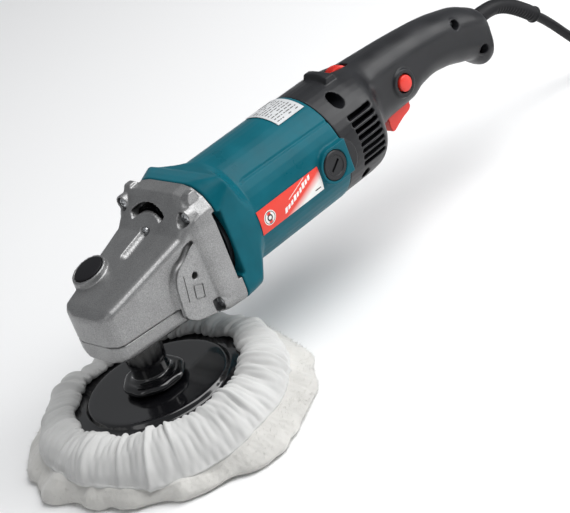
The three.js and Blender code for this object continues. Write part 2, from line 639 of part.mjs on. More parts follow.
function handleBlank() {
  const shell = loft(HANDLE.map(([x, half, low, high, r]) => section(x, half, low, high, r, r, 5)));
  const fin = [[223.5, 140], [224.5, 152], [227, 156.6], [231, 157], [235, 151.5], [235, 140]];
  const ridge = slabXZ(fin, [-15.5, 9.5]).intersect(bar('x', 47.6, [210, 240], onAxis, 32));
  const collar = bar('y', 11.2, [-22.6, -12], lockOnAt, 20, 13);
  const brushPads = bar('y', 15, [-45.6, 45.6], [190.5, 107.5], 28);
  const wall = 3;
  const inside = HANDLE.filter(([x]) => ![239, 249.5, 261, 332, 384.5].includes(x) && x < 396);
  const cavity = loft(inside.map(([x, half, low, high, r], i) =>
    section(i === 0 ? x - 2 : x, half - wall, low + wall, high - wall, r - wall, r - wall, 3)));
  const pads = brushPads.intersect(box([HOUSING_END_X + FIT, 210], [-50, 50], [80, 130]));
  return { shell: join(shell, ridge, pads), collar, cavity };
}

function handleShell(side) {
  const { shell, collar, cavity } = handleBlank();
  const far = side * 60;
  const half = box([190, 420], [Math.min(far, side * 0.15), Math.max(far, side * 0.15)], [40, 180]);
  const posts = shellScrews.map(([x, z], i) =>
    bar('y', shellBores[i] + 1.3, [-45, 45], [x, z], 12).intersect(shell));
  const blank = side < 0 ? join(shell, collar) : shell;
  let body = join(cut(blank, cavity), ...posts).intersect(half);
  body = cut(body, ...ventSlots());
  const triggerWay = box(trigger.x, [-trigger.half - 0.6, trigger.half + 0.6], [60, 96]);
  const dialWay = box([dialCentre[0] - 12, dialCentre[0] + 12], [-4.7, 4.7], [137, 160]);
  const guardWay = bar('x', clear(6.5, FIT, 16), [388, 420], [0, guardAt[1]], 16);
  body = cut(body, triggerWay, dialWay, guardWay);
  if (side < 0) {
    const heads = shellScrews.map(([x, z], i) => bar('y', shellBores[i], [-60, -9.5], [x, z], 12));
    const holes = shellScrews.map(([x, z]) => bar('y', 2.2, [-60, 1], [x, z], 8));
    return cut(body, ...heads, ...holes, bar('y', 7.6, [-30, -10], lockOnAt));
  }
  return cut(body, ...shellScrews.map(([x, z]) => bar('y', 2, [-1, 10], [x, z], 8)));
}
piece('handle_left', 'black_plastic', handleShell(-1));
piece('handle_right', 'black_plastic', handleShell(1));
shellScrews.forEach(([x, z], i) =>
  piece(`shell_screw_${i + 1}`, 'bare_steel', screw('y', 3.6, 2.6, 1.7, 21, [x, -12.4, z])));

piece('switch_body', 'black_plastic', box([272, 307], [-10.6, 10.6], [101, 122]));
piece('speed_control', 'black_plastic', join(
  box([226, 260], [-14, 14], [104, 122]),
  cut(box([241, 252], [-6.8, -4.9], [118, 141]), bar('y', 1.6, [-9, -2], dialCentre, 12)),
));

const dial = join(
  bar('y', DIAL_R, [-4, 4], dialCentre, 28),
  bar('y', 1.3, [-6.4, -3], dialCentre, 12),
);
piece('speed_dial', 'red_plastic', dial);

const lockOnCap = [[0, -24.6], [5, -24.6], [6.5, -23.4], [6.5, -14.4], [0, -14.4]];
piece('lock_on_button', 'red_plastic', turned('y', lockOnCap, lockOnAt));

const lever = [
  [277, 95.5], [276.2, 84], [276.6, 78.6], [279, 77.8], [285, 80.6], [292, 83.4], [299, 85], [302, 87.5],
  [301.6, 95.5],
];
piece('trigger', 'red_plastic', slabXZ(lever, [-trigger.half, trigger.half]));

// ---------------------------------------------------------------- cord

const guardRoute = [
  [HANDLE_END_X - 9, 0, guardAt[1]], [403, 0, guardAt[1]], [418, 0, 110.4], [428, 0, 108],
  [437, 0, 103.8], [446, 0, 97.8], [456, 0, 89.6], [465.6, 0, 80.8],
];
const cordRoute = [
  [465.9, 0, 80.5], [474, 0, 72.4], [484, 0, 61], [494, 0, 48.6], [504, -0.5, 36], [514, -1, 24.6],
  [526, -1.8, 15.2], [540, -2.8, 8.9], [556, -3.6, 5.6], [568.6, -4, 4.9],
];
const COIL = { centre: [600, -60], inner: 24.5, outer: 60, height: 17.2 };
const leadRoute = [[569, -116.1, 11], [559, -116.8, 11], [549, -117.2, 11.2], [538.4, PLUG_Y, 12]];
const through = (points) => new THREE.CatmullRomCurve3(points.map((p) => new THREE.Vector3(...p)));

piece('cord_guard', 'black_rubber', sweep(through(guardRoute), 6.4, 12, 12));
piece('cord_clamp', 'black_plastic', box([366, 376], [-9, 9], [112, 118]));
piece('power_cord', 'black_rubber', sweep(through(cordRoute), CORD_R, 10, 14));
piece('cord_coil', 'black_rubber', ring('z', COIL.inner, COIL.outer, [0, COIL.height], COIL.centre, 32));
piece('plug_lead', 'black_rubber', sweep(through(leadRoute), CORD_R, 10, 5));

// The plug lies on its side; both pins are level with its middle.
const PLUG_Z = 12;
const PIN_R = 2.4;
const pinsAt = [-9.5, 9.5];

function plugBody() {
  const rows = [
    [480, 17, 1.5, 22.5, 9], [484, 18, 0.6, 23.4, 10], [500, 17, 0.8, 23.2, 10], [516, 11, 2.5, 21.5, 9],
    [522, 7.5, 4.5, 19.5, 7], [537.6, 5.2, 6.8, 17.2, 5],
  ];
  const body = loft(rows.map(([x, half, low, high, r]) => section(x, half, low, high, r)));
  const sockets = pinsAt.map((y) => bar('x', clear(PIN_R, FIT, 12), [470, 488], [y, PLUG_Z], 12));
  return cut(body, ...sockets);
}
const plug = new THREE.Group();
plug.position.y = PLUG_Y;
polisher.add(plug);
piece('plug_body', 'black_rubber', plugBody(), plug);
pinsAt.forEach((y, i) =>
  piece(`plug_pin_${i + 1}`, 'bare_steel', bar('x', PIN_R, [461, 487.6], [y, PLUG_Z], 12), plug));

export default polisher;
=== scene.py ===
"""Looks of the rotary polisher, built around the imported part.

Metres, +Z up, in the part's own frame. The helpers take millimetres, like the CAD source.
"""

import json
import math
import random

import bmesh
import bpy
import numpy as np
from mathutils import Matrix, Vector


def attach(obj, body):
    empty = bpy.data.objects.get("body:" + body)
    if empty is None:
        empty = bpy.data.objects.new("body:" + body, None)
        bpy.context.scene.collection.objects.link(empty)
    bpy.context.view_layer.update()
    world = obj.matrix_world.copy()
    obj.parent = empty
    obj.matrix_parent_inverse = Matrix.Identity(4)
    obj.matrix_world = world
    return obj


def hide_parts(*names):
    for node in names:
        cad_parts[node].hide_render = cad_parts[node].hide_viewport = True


MM = 0.001
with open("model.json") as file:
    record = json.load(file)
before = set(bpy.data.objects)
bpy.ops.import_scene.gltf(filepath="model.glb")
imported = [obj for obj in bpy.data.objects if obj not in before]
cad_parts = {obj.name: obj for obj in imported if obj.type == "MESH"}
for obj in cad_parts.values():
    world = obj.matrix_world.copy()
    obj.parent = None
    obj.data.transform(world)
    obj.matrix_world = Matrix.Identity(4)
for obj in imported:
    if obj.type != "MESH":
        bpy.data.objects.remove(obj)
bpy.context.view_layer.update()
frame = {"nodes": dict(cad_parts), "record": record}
nodes = frame["nodes"]
random.seed(7)
rng = np.random.default_rng(7)

AXIS_Z = 109.0
BARREL_R = 44.25
FLANGE_X, HOUSING_END_X = 72.0, 197.4
GAP = 0.3  # left between meshes that touch
LOCK_ON = (290.0, 115.0)
LOCK_BUTTON = (-1.0, 22.8)
LOCK_SEAT_Z = 116.4
LOCK_CAP_R, LOCK_WELL_R = 11.1, 11.4
HEAD_SLOPE = 0.277
RETAINER_SCREW = (3.5, 131.8)
# x, z and the radius of the bore over the head
SHELL_SCREWS = [(217.0, 141.5, 5.5), (218.0, 79.5, 4.0), (362.5, 126.4, 4.0), (384.0, 94.0, 4.0)]
FLANGE_SCREWS = [(51.6, -34.5, 141.2), (50.4, -38, 73.4), (51.6, 33.4, 145.2), (50.4, 38, 73.4)]
DIAL = (246.5, 138.4)
BRUSH_X = 181.2
PLUG_Y = -117.4
MOST_TRIANGLES = 190000

# ------------------------------------------------------------------ camera, floor and light

scene = bpy.context.scene
scene.view_settings.view_transform = "Standard"


def add_object(name, data):
    obj = bpy.data.objects.new(name, data)
    scene.collection.objects.link(obj)
    return obj


def make_camera():
    """The photograph's view: a long lens from the front left, turned a little about its own axis."""
    right = Vector((0.671984, -0.663469, -0.329009))
    ahead = Vector((0.515377, 0.738000, -0.435595))
    down = ahead.cross(right)
    camera = add_object("camera", bpy.data.cameras.new("camera"))
    camera.matrix_world = Matrix.Translation((-0.59845, -1.06202, 0.67413)) @ Matrix(
        [(right[i], -down[i], -ahead[i]) for i in range(3)]
    ).to_4x4()
    camera.data.sensor_width = 36.0
    camera.data.lens = 121.73
    camera.data.clip_end = 20
    scene.camera = camera


def area_light(name, place, aim, size, power):
    light = add_object(name, bpy.data.lights.new(name, "AREA"))
    light.data.shape = "RECTANGLE"
    light.data.size, light.data.size_y = size
    light.data.energy = power
    light.location = place
    light.rotation_euler = (Vector(aim) - Vector(place)).to_track_quat("-Z", "Y").to_euler()


def new_material(name):
    material = bpy.data.materials.new(name)
    material.use_nodes = True
    return material, material.node_tree, material.node_tree.nodes["Principled BSDF"]


def set_inputs(node, **values):
    """Sets a node's inputs; an underscore stands for a space in an input's name."""
    for name, value in values.items():
        node.inputs[name.replace("_", " ")].default_value = value


def make_studio():
    world = bpy.data.worlds.new("studio")
    scene.world = world
    world.use_nodes = True
    set_inputs(world.node_tree.nodes["Background"], Color=(0.95, 0.97, 1.0, 1), Strength=0.3)
    area_light("overhead", (0.8, -0.7, 1.9), (0.25, -0.1, 0.05), (1.9, 1.9), 42)
    area_light("front", (1.4, -0.9, 0.8), (0.15, 0, 0.1), (0.9, 0.9), 12)
    area_light("left", (-1.4, -0.2, 0.9), (0, 0, 0.08), (0.5, 0.9), 1.6)
    floor = add_object("floor", bpy.data.meshes.new("floor"))
    floor.data.from_pydata([(-6, -6, 0), (6, -6, 0), (6, 6, 0), (-6, 6, 0)], [], [(0, 1, 2, 3)])
    pale, _, shader = new_material("floor_paper")
    set_inputs(shader, Base_Color=(0.93, 0.93, 0.93, 1), Roughness=0.9)
    floor.data.materials.append(pale)


make_camera()
make_studio()

# ------------------------------------------------------------------ materials


def texture(tree, kind, scale, **values):
    """A texture node in object space; scale is its size in millimetres."""
    place = tree.nodes.get("place") or tree.nodes.new("ShaderNodeTexCoord")
    place.name = "place"
    made = tree.nodes.new(kind)
    set_inputs(made, Scale=1 / (scale * MM), **values)
    tree.links.new(place.outputs["Object"], made.inputs["Vector"])
    return made


def ramp(tree, source, stops):
    """A colour ramp on a socket; stops are (position, grey or colour)."""
    made = tree.nodes.new("ShaderNodeValToRGB")
    while len(made.color_ramp.elements) < len(stops):
        made.color_ramp.elements.new(0.5)
    for element, (place, colour) in zip(made.color_ramp.elements, stops):
        element.position = place
        element.color = (colour,) * 3 + (1,) if isinstance(colour, (int, float)) else (*colour, 1)
    tree.links.new(source, made.inputs["Fac"])
    return made.outputs["Color"]


def bump(tree, shader, heights):
    """Stacks bumps; heights are (socket, depth in millimetres)."""
    last = None
    for source, depth in heights:
        made = tree.nodes.new("ShaderNodeBump")
        set_inputs(made, Distance=depth * MM, Strength=1.0)
        tree.links.new(source, made.inputs["Height"])
        if last:
            tree.links.new(last, made.inputs["Normal"])
        last = made.outputs["Normal"]
    tree.links.new(last, shader.inputs["Normal"])


def finish_of(name, colour, roughness, grain, metallic=0.0, depth=0.02, mottle=0.12, spread=0.08, **extra):
    """A moulded, cast or machined surface: fine grain in its bump, slow changes of colour and roughness."""
    material, tree, shader = new_material(name)
    fine = texture(tree, "ShaderNodeTexNoise", grain, Detail=4.0, Roughness=0.6)
    slow = texture(tree, "ShaderNodeTexNoise", 22.0, Detail=3.0)
    low = tuple(c * (1 - mottle) for c in colour)
    high = tuple(min(1.0, c * (1 + mottle)) for c in colour)
    tree.links.new(ramp(tree, slow.outputs["Fac"], [(0.3, low), (0.7, high)]), shader.inputs["Base Color"])
    rough = ramp(tree, slow.outputs["Fac"], [(0.3, roughness - spread), (0.7, roughness + spread)])
    tree.links.new(rough, shader.inputs["Roughness"])
    set_inputs(shader, Metallic=metallic, **extra)
    bump(tree, shader, [(fine.outputs["Fac"], depth)])
    return material


def cast_finish():
    """Shot-blasted die casting: dark and bright specks over a slow mottle."""
    material, tree, shader = new_material("cast_alloy")
    speck = texture(tree, "ShaderNodeTexNoise", 0.75, Detail=3.0, Roughness=0.7)
    pits = texture(tree, "ShaderNodeTexVoronoi", 1.6)
    slow = texture(tree, "ShaderNodeTexNoise", 16, Detail=3.0)
    grains = ramp(tree, speck.outputs["Fac"], [(0.3, 0.25), (0.46, 0.33), (0.6, 0.39), (0.74, 0.48)])
    wash = ramp(tree, slow.outputs["Fac"], [(0.3, 0.86), (0.7, 1.0)])
    mixed = tree.nodes.new("ShaderNodeMixRGB")
    mixed.blend_type = "MULTIPLY"
    set_inputs(mixed, Fac=1)
    tree.links.new(grains, mixed.inputs["Color1"])
    tree.links.new(wash, mixed.inputs["Color2"])
    tree.links.new(mixed.outputs["Color"], shader.inputs["Base Color"])
    tree.links.new(ramp(tree, speck.outputs["Fac"], [(0.3, 0.5), (0.7, 0.36)]), shader.inputs["Roughness"])
    set_inputs(shader, Metallic=0.9)
    bump(tree, shader, [(speck.outputs["Fac"], 0.07), (pits.outputs["Distance"], 0.04)])
    return material


def cloth_finish(name, colour, weave, depth, sheen):
    """Cotton cover: a fine weave in the bump; slow darker patches in the colour are painted shade that stands
    in for soft creases.
    """
    material, tree, shader = new_material(name)
    threads = texture(tree, "ShaderNodeTexNoise", weave, Detail=5.0, Roughness=0.7)
    slub = texture(tree, "ShaderNodeTexNoise", 6, Detail=4.0)
    slow = texture(tree, "ShaderNodeTexNoise", 30, Detail=2.0)
    # painted crease shade: slow noise darkens the cloth's colour by up to 14 per cent in soft patches
    low = tuple(c * 0.86 for c in colour)
    tint = ramp(tree, slow.outputs["Fac"], [(0.3, low), (0.65, colour)])
    tree.links.new(tint, shader.inputs["Base Color"])
    set_inputs(shader, Roughness=0.92, Sheen_Weight=sheen, Sheen_Roughness=0.5, Specular_IOR_Level=0.2)
    bump(tree, shader, [(threads.outputs["Fac"], depth), (slub.outputs["Fac"], depth * 2.5)])
    return material


FINISHES = {
    "teal_plastic": dict(
        colour=(0.001, 0.10, 0.135), roughness=0.34, grain=1.2, depth=0.01, Specular_IOR_Level=0.14
    ),
    "black_plastic": dict(
        colour=(0.011, 0.0115, 0.0135), roughness=0.37, grain=0.5, depth=0.03, mottle=0.2,
        Specular_IOR_Level=0.34,
    ),
    "gloss_black": dict(
        colour=(0.004, 0.004, 0.005), roughness=0.13, grain=3, spread=0.05,
        Coat_Weight=0.5, Coat_Roughness=0.06,
    ),
    "black_rubber": dict(
        colour=(0.008, 0.008, 0.0095), roughness=0.5, grain=0.8, mottle=0.2, Specular_IOR_Level=0.22
    ),
    "red_plastic": dict(colour=(0.72, 0.035, 0.022), roughness=0.3, grain=1, depth=0.008, mottle=0.08),
    "bare_steel": dict(colour=(0.56, 0.57, 0.58), roughness=0.28, metallic=1.0, grain=0.7, depth=0.01),
    "gear_steel": dict(colour=(0.36, 0.36, 0.37), roughness=0.36, metallic=1.0, grain=0.5, depth=0.015),
    "lamination": dict(colour=(0.2, 0.2, 0.21), roughness=0.5, metallic=0.8, grain=0.4, depth=0.04),
    "copper": dict(colour=(0.62, 0.24, 0.1), roughness=0.36, metallic=0.9, grain=0.7, depth=0.08),
    "brass": dict(colour=(0.68, 0.5, 0.2), roughness=0.3, metallic=1.0, grain=0.8, depth=0.01),
    "carbon": dict(colour=(0.02, 0.02, 0.021), roughness=0.75, grain=0.3, depth=0.03),
    "foam": dict(colour=(0.62, 0.52, 0.25), roughness=0.9, grain=1.0, depth=0.3),
}
MATERIALS = {"cast_alloy": cast_finish()}
MATERIALS.update((name, finish_of(name, **look)) for name, look in FINISHES.items())
MATERIALS["wool"] = cloth_finish("wool", (0.60, 0.60, 0.59), 0.5, 0.08, 0.25)
MATERIALS["fleece"] = cloth_finish("fleece", (0.63, 0.62, 0.59), 0.9, 0.16, 0.45)


def dress_nodes():
    """CAD nodes that stay get the node material of their slot, and round faces shade smooth."""
    slots = {row["node"]: row["material_slot"] for row in frame["record"]["subparts"]}
    stickers = {"label_red": "red_plastic", "label_silver": "bare_steel"}
    for name, obj in nodes.items():
        slot_name = slots[name]
        obj.data.materials.clear()
        obj.data.materials.append(MATERIALS[stickers.get(slot_name, slot_name)])
        obj.data.polygons.foreach_set("use_smooth", [True] * len(obj.data.polygons))
        obj.data.set_sharp_from_angle(angle=math.radians(32))


dress_nodes()

# ------------------------------------------------------------------ mesh helpers


def make(name, points, faces):
    """A mesh object from points in millimetres."""
    mesh = bpy.data.meshes.new(name)
    mesh.from_pydata([tuple(MM * float(c) for c in p) for p in points], [], faces)
    mesh.update()
    return add_object(name, mesh)


def edited(obj, change):
    """Runs change on the object's mesh as a bmesh."""
    work = bmesh.new()
    work.from_mesh(obj.data)
    change(work)
    work.to_mesh(obj.data)
    work.free()
    return obj


def outward(obj):
    """Faces point out of each closed body."""
    return edited(obj, lambda work: bmesh.ops.recalc_face_normals(work, faces=work.faces))


def copy_of(node, name):
    """A copy of a CAD node's mesh with its corners welded."""
    copy = add_object(name, nodes[node].data.copy())
    return edited(copy, lambda work: bmesh.ops.remove_doubles(work, verts=work.verts, dist=1e-6))


def dress(obj, slot_name, body, *replaced, sharp=35, material=None):
    """Gives a finished piece its material and body, and hides the nodes that it stands for."""
    obj.data.materials.clear()
    obj.data.materials.append(material or MATERIALS[slot_name])
    obj.data.polygons.foreach_set("use_smooth", [True] * len(obj.data.polygons))
    obj.data.set_sharp_from_angle(angle=math.radians(sharp))
    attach(obj, body)
    if replaced:
        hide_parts(*replaced)
    return obj


def baked(obj):
    """Applies an object's modifiers."""
    graph = bpy.context.evaluated_depsgraph_get()
    mesh = bpy.data.meshes.new_from_object(obj.evaluated_get(graph))
    obj.modifiers.clear()
    obj.data = mesh
    return obj


def boolean(obj, tools, operation):
    """Applies each tool to obj in turn, then removes the tools."""
    for tool in tools:
        modifier = obj.modifiers.new("cut", "BOOLEAN")
        modifier.operation = operation
        modifier.solver = "MANIFOLD"
        modifier.object = tool
    baked(obj)
    for tool in tools:
        bpy.data.objects.remove(tool)
    return obj


def cut(obj, *tools):
    return boolean(obj, tools, "DIFFERENCE")


def join(obj, *tools):
    return boolean(obj, tools, "UNION")


def lighter(obj, most=MOST_TRIANGLES):
    """Keeps a fine mesh under the largest triangle count that a piece may have."""
    triangles = sum(len(f.vertices) - 2 for f in obj.data.polygons)
    if triangles > most:
        fewer = obj.modifiers.new("fewer", "DECIMATE")
        fewer.ratio = most / triangles
        baked(obj)
    return obj


def soften(obj, voxel, rounds, most=MOST_TRIANGLES):
    """Even mesh over a body, relaxed so that its edges turn into the small fillets of a moulding."""
    remesh = obj.modifiers.new("remesh", "REMESH")
    remesh.mode = "VOXEL"
    remesh.voxel_size = voxel * MM
    smooth = obj.modifiers.new("smooth", "SMOOTH")
    smooth.factor = 0.5
    smooth.iterations = rounds
    return lighter(baked(obj), most)


def grid_faces(rows, count, caps=False, ring=False):
    """Quads between closed rows of points; caps close the two ends, ring joins the last row to the first."""
    faces = []
    for k in range(rows if ring else rows - 1):
        here, there = k * count, (k + 1) % rows * count
        for i in range(count):
            j = (i + 1) % count
            faces.append((here + i, here + j, there + j, there + i))
    if caps:
        faces.append(tuple(reversed(range(count))))
        faces.append(tuple(range((rows - 1) * count, rows * count)))
    return faces


def loft(name, sections):
    count = len(sections[0])
    points = [p for row in sections for p in row]
    return outward(make(name, points, grid_faces(len(sections), count, caps=True)))


def section(x, half, low, high, top, bottom=None, steps=12):
    """A rounded rectangle across X."""
    bottom = top if bottom is None else bottom
    r_top = min(top, half, (high - low) / 2)
    r_low = min(bottom, half, (high - low) / 2)
    corners = [
        (half - r_top, high - r_top, r_top, 0),
        (-half + r_top, high - r_top, r_top, 90),
        (-half + r_low, low + r_low, r_low, 180),
        (half - r_low, low + r_low, r_low, 270),
    ]
    points = []
    for y, z, r, start in corners:
        for i in range(steps + 1):
            angle = math.radians(start + 90 * i / steps)
            points.append((x, y + r * math.cos(angle), z + r * math.sin(angle)))
    return points


def eased(rows, count):
    """Rows of numbers resampled along their first column by a curve that never overshoots."""
    rows = np.array(rows, float)
    x, values = rows[:, 0], rows[:, 1:]
    gap = np.diff(x)[:, None]
    slope = np.diff(values, axis=0) / gap
    tangent = np.zeros_like(values)
    with np.errstate(divide="ignore", invalid="ignore"):
        mean = 2 * slope[:-1] * slope[1:] / (slope[:-1] + slope[1:])
    tangent[1:-1] = np.where(slope[:-1] * slope[1:] > 0, mean, 0)
    tangent[0], tangent[-1] = slope[0], slope[-1]
    made = []
    for at in np.linspace(x[0], x[-1], count):
        k = min(int(np.searchsorted(x, at, "right")) - 1, len(x) - 2)
        h = x[k + 1] - x[k]
        t = (at - x[k]) / h
        value = (
            (2 * t**3 - 3 * t**2 + 1) * values[k]
            + (t**3 - 2 * t**2 + t) * h * tangent[k]
            + (3 * t**2 - 2 * t**3) * values[k + 1]
            + (t**3 - t**2) * h * tangent[k + 1]
        )
        made.append((at, *value))
    return made


def fillet(points, radius, steps=5, closed=False):
    """A polyline whose inner corners are rounded."""
    points = [np.array(p, float) for p in points]
    made = []
    for i, corner in enumerate(points):
        if not closed and i in (0, len(points) - 1):
            made.append(corner)
            continue
        before, after = points[i - 1] - corner, points[(i + 1) % len(points)] - corner
        reach = min(radius, 0.46 * np.linalg.norm(before), 0.46 * np.linalg.norm(after))
        start = corner + before / np.linalg.norm(before) * reach
        end = corner + after / np.linalg.norm(after) * reach
        for t in np.linspace(0, 1, steps + 1):
            made.append((1 - t) ** 2 * start + 2 * t * (1 - t) * corner + t * t * end)
    return made


def on_axis(axis, centre, radius, along, angle):
    u, v = radius * math.cos(angle), radius * math.sin(angle)
    if axis == "x":
        return (along, centre[0] + u, centre[1] + v)
    if axis == "y":
        return (centre[0] + u, along, centre[1] + v)
    return (centre[0] + u, centre[1] + v, along)


def lathe(name, axis, profile, centre=(0, 0), segments=96, shape=None):
    """A turned body from (radius, place along the axis); its ends close on the axis or on each other."""
    profile = [tuple(map(float, p)) for p in profile]
    solid_of_revolution = profile[0][0] < 1e-6 and profile[-1][0] < 1e-6
    rows = profile[1:-1] if solid_of_revolution else profile
    points = []
    for r, h in rows:
        for i in range(segments):
            angle = 2 * math.pi * i / segments
            bigger = shape(angle, r, h) if shape else r
            points.append(on_axis(axis, centre, bigger, h, angle))
    faces = grid_faces(len(rows), segments, ring=not solid_of_revolution)
    if solid_of_revolution:
        for row, (r, h) in ((0, profile[0]), (len(rows) - 1, profile[-1])):
            points.append(on_axis(axis, centre, 0, h, 0))
            tip = len(points) - 1
            base = row * segments
            faces += [(base + i, base + (i + 1) % segments, tip) for i in range(segments)]
    return outward(make(name, points, faces))


def rod(axis, radius, span, centre=(0, 0), segments=48):
    low, high = span
    return lathe("tool", axis, [(0, low), (radius, low), (radius, high), (0, high)], centre, segments)


def block(x, y, z, name="tool"):
    points = [(x[i], y[j], z[k]) for i in (0, 1) for j in (0, 1) for k in (0, 1)]
    faces = [(0, 1, 3, 2), (4, 6, 7, 5), (0, 4, 5, 1), (2, 3, 7, 6), (0, 2, 6, 4), (1, 5, 7, 3)]
    return outward(make(name, points, faces))


def slab(outline, span, name="tool"):
    """An outline in X and Z, pushed out along Y."""
    count = len(outline)
    points = [(x, span[0], z) for x, z in outline] + [(x, span[1], z) for x, z in outline]
    return outward(make(name, points, grid_faces(2, count, caps=True)))


def tube(path, radii, segments=24, name="tube"):
    """A closed round tube along points; radii is a number, or one for each point."""
    path = [Vector(p) for p in path]
    radii = [radii] * len(path) if isinstance(radii, (int, float)) else radii
    points = []
    side = None
    for i, p in enumerate(path):
        along = (path[min(i + 1, len(path) - 1)] - path[max(i - 1, 0)]).normalized()
        if side is None:
            side = along.orthogonal().normalized()
        side = (side - along * side.dot(along)).normalized()
        up = along.cross(side)
        for k in range(segments):
            angle = 2 * math.pi * k / segments
            points.append(p + radii[i] * (side * math.cos(angle) + up * math.sin(angle)))
    return outward(make(name, points, grid_faces(len(path), segments, caps=True)))


def catmull_rom(a, b, c, d, t):
    """The curve between b and c, where t runs from 0 to 1."""
    return 0.5 * (2 * b + (c - a) * t + (2 * a - 5 * b + 4 * c - d) * t**2 + (3 * b - a - 3 * c + d) * t**3)


def spline(points, per_span=8):
    """Points along a Catmull-Rom curve."""
    p = [np.array(q, float) for q in points]
    p = [2 * p[0] - p[1]] + p + [2 * p[-1] - p[-2]]
    made = []
    for i in range(1, len(p) - 2):
        for t in np.linspace(0, 1, per_span, endpoint=False):
            made.append(catmull_rom(*p[i - 1 : i + 3], t))
    made.append(p[-2])
    return made


# ------------------------------------------------------------------ cord, coil and plug

CORD_R = 4.0
COIL_AT = (600.0, -60.0)
COIL_Z = (4.9, 13.1)
COIL_R = 56
PITCH = 8.2
CLIMB = (3.0, 3.5)
INNERMOST, TURNS = 3.4, 6.5


def coil_point(turn):
    """A point after so many clockwise turns from the +Y side: in on the floor layer, out on the upper one."""
    inner = COIL_R - PITCH * INNERMOST
    radius = COIL_R - PITCH * turn if turn < INNERMOST else inner + PITCH * (turn - INNERMOST)
    share = min(1.0, max(0.0, (turn - CLIMB[0]) / (CLIMB[1] - CLIMB[0])))
    height = COIL_Z[0] + (COIL_Z[1] - COIL_Z[0]) * share * share * (3 - 2 * share)
    angle = math.pi / 2 - 2 * math.pi * turn
    return (COIL_AT[0] + radius * math.cos(angle), COIL_AT[1] + radius * math.sin(angle), height)


def cord_path():
    arrive = [
        (464.6, 0, 81.7), (474, 0, 72.4), (484, 0, 61), (494, 0, 48.6), (504, -0.5, 36), (514, -1, 24.8),
        (526, -1.8, 15.2), (540, -2.8, 8.9), (556, -3.6, 5.6), (572, -4, 4.9), (586, -4.3, 4.9),
    ]
    turns = [coil_point(k / 24) for k in range(1, int(TURNS * 24) + 1)]
    leave = [
        (586, -115.1, 12.7), (572, -115.9, 11.4), (560, -116.7, 10.6), (549, -117.2, 11.2),
        (536.5, PLUG_Y, 12),
    ]
    return arrive + turns + leave


def make_cord():
    path = cord_path()
    curve = bpy.data.curves.new("mains_cord", "CURVE")
    curve.dimensions = "3D"
    curve.bevel_depth = CORD_R * MM
    curve.bevel_resolution = 5
    curve.resolution_u = 3
    curve.use_fill_caps = True
    line = curve.splines.new("POLY")
    fine = spline(path, 3)
    line.points.add(len(fine) - 1)
    for point, at in zip(line.points, fine):
        point.co = (*(MM * float(c) for c in at), 1)
    line.use_smooth = True
    cord = add_object("mains_cord", curve)
    curve.materials.append(MATERIALS["black_rubber"])
    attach(cord, "housing")
    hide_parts("power_cord", "cord_coil", "plug_lead")
    length = sum((Vector(a) - Vector(b)).length for a, b in zip(fine, fine[1:])) * MM
    return cord, length


def make_tie():
    """A rubber strap round the coil's far side."""
    angle = math.radians(-20)
    radial = np.array([math.cos(angle), math.sin(angle)])
    ring = fillet([(22.4, 0.2), (62.6, 0.2), (62.6, 18.6), (22.4, 18.6)], 8, 6, closed=True)
    inner = fillet([(23.9, 0.9), (61.1, 0.9), (61.1, 17.3), (23.9, 17.3)], 7, 6, closed=True)
    tangent = np.array([-radial[1], radial[0]])
    rows = []
    for loop, half in ((ring, -7), (ring, 7), (inner, 7), (inner, -7)):
        rows.append([(*(np.array(COIL_AT) + radial * r + tangent * half), z) for r, z in loop])
    tie = outward(make("coil_tie", [p for row in rows for p in row], grid_faces(4, len(ring), ring=True)))
    return dress(tie, "black_rubber", "housing")


def make_plug():
    rows = [
        (480, 17, 1.5, 22.5, 9), (481.5, 18, 0.8, 23.2, 10), (486, 18, 0.6, 23.4, 10),
        (500, 17, 0.8, 23.2, 10), (509, 14, 1.4, 22.6, 10), (516, 11, 2.5, 21.5, 9),
        (522, 7.5, 4.5, 19.5, 7), (530, 6.2, 5.8, 18.2, 6), (537.6, 5.2, 6.8, 17.2, 5),
    ]


    def plug_loft(name, rows, inset=0.0):
        sections = []
        for x, half, low, high, r in rows:
            row = section(x, half - inset, low + inset, high - inset, r - inset)
            sections.append([(x, y + PLUG_Y, z) for x, y, z in row])
        return loft(name, sections)

    body = plug_loft("plug_shell", eased(rows, 60))
    grooves, *more_grooves = [block((x, x + 1.2), (-140, -90), (0, 30)) for x in (489, 493, 497, 501)]
    join(grooves, *more_grooves)
    cut(grooves, plug_loft("tool", [(487, 18, 0.6, 23.4, 10), (505, 17, 0.8, 23.2, 10)], 0.8))
    cut(body, grooves)
    dress(body, "black_rubber", "housing", "plug_body")
    pins = []
    for k, side in enumerate((-9.5, 9.5)):
        profile = [(0, 461), *fillet([(0.6, 461), (2.4, 461.6), (2.4, 487.6)], 0.8), (0, 487.6)]
        pin = lathe(f"pin_{k + 1}", "x", profile, (side + PLUG_Y, 12), 32)
        pins.append(dress(pin, "bare_steel", "housing", f"plug_pin_{k + 1}"))
    return [body, *pins]


GUARD_ROUTE = [
    (390, 0, 111), (403, 0, 111), (418, 0, 110.4), (428, 0, 108), (437, 0, 103.8), (446, 0, 97.8),
    (456, 0, 89.6), (465.6, 0, 80.8),
]


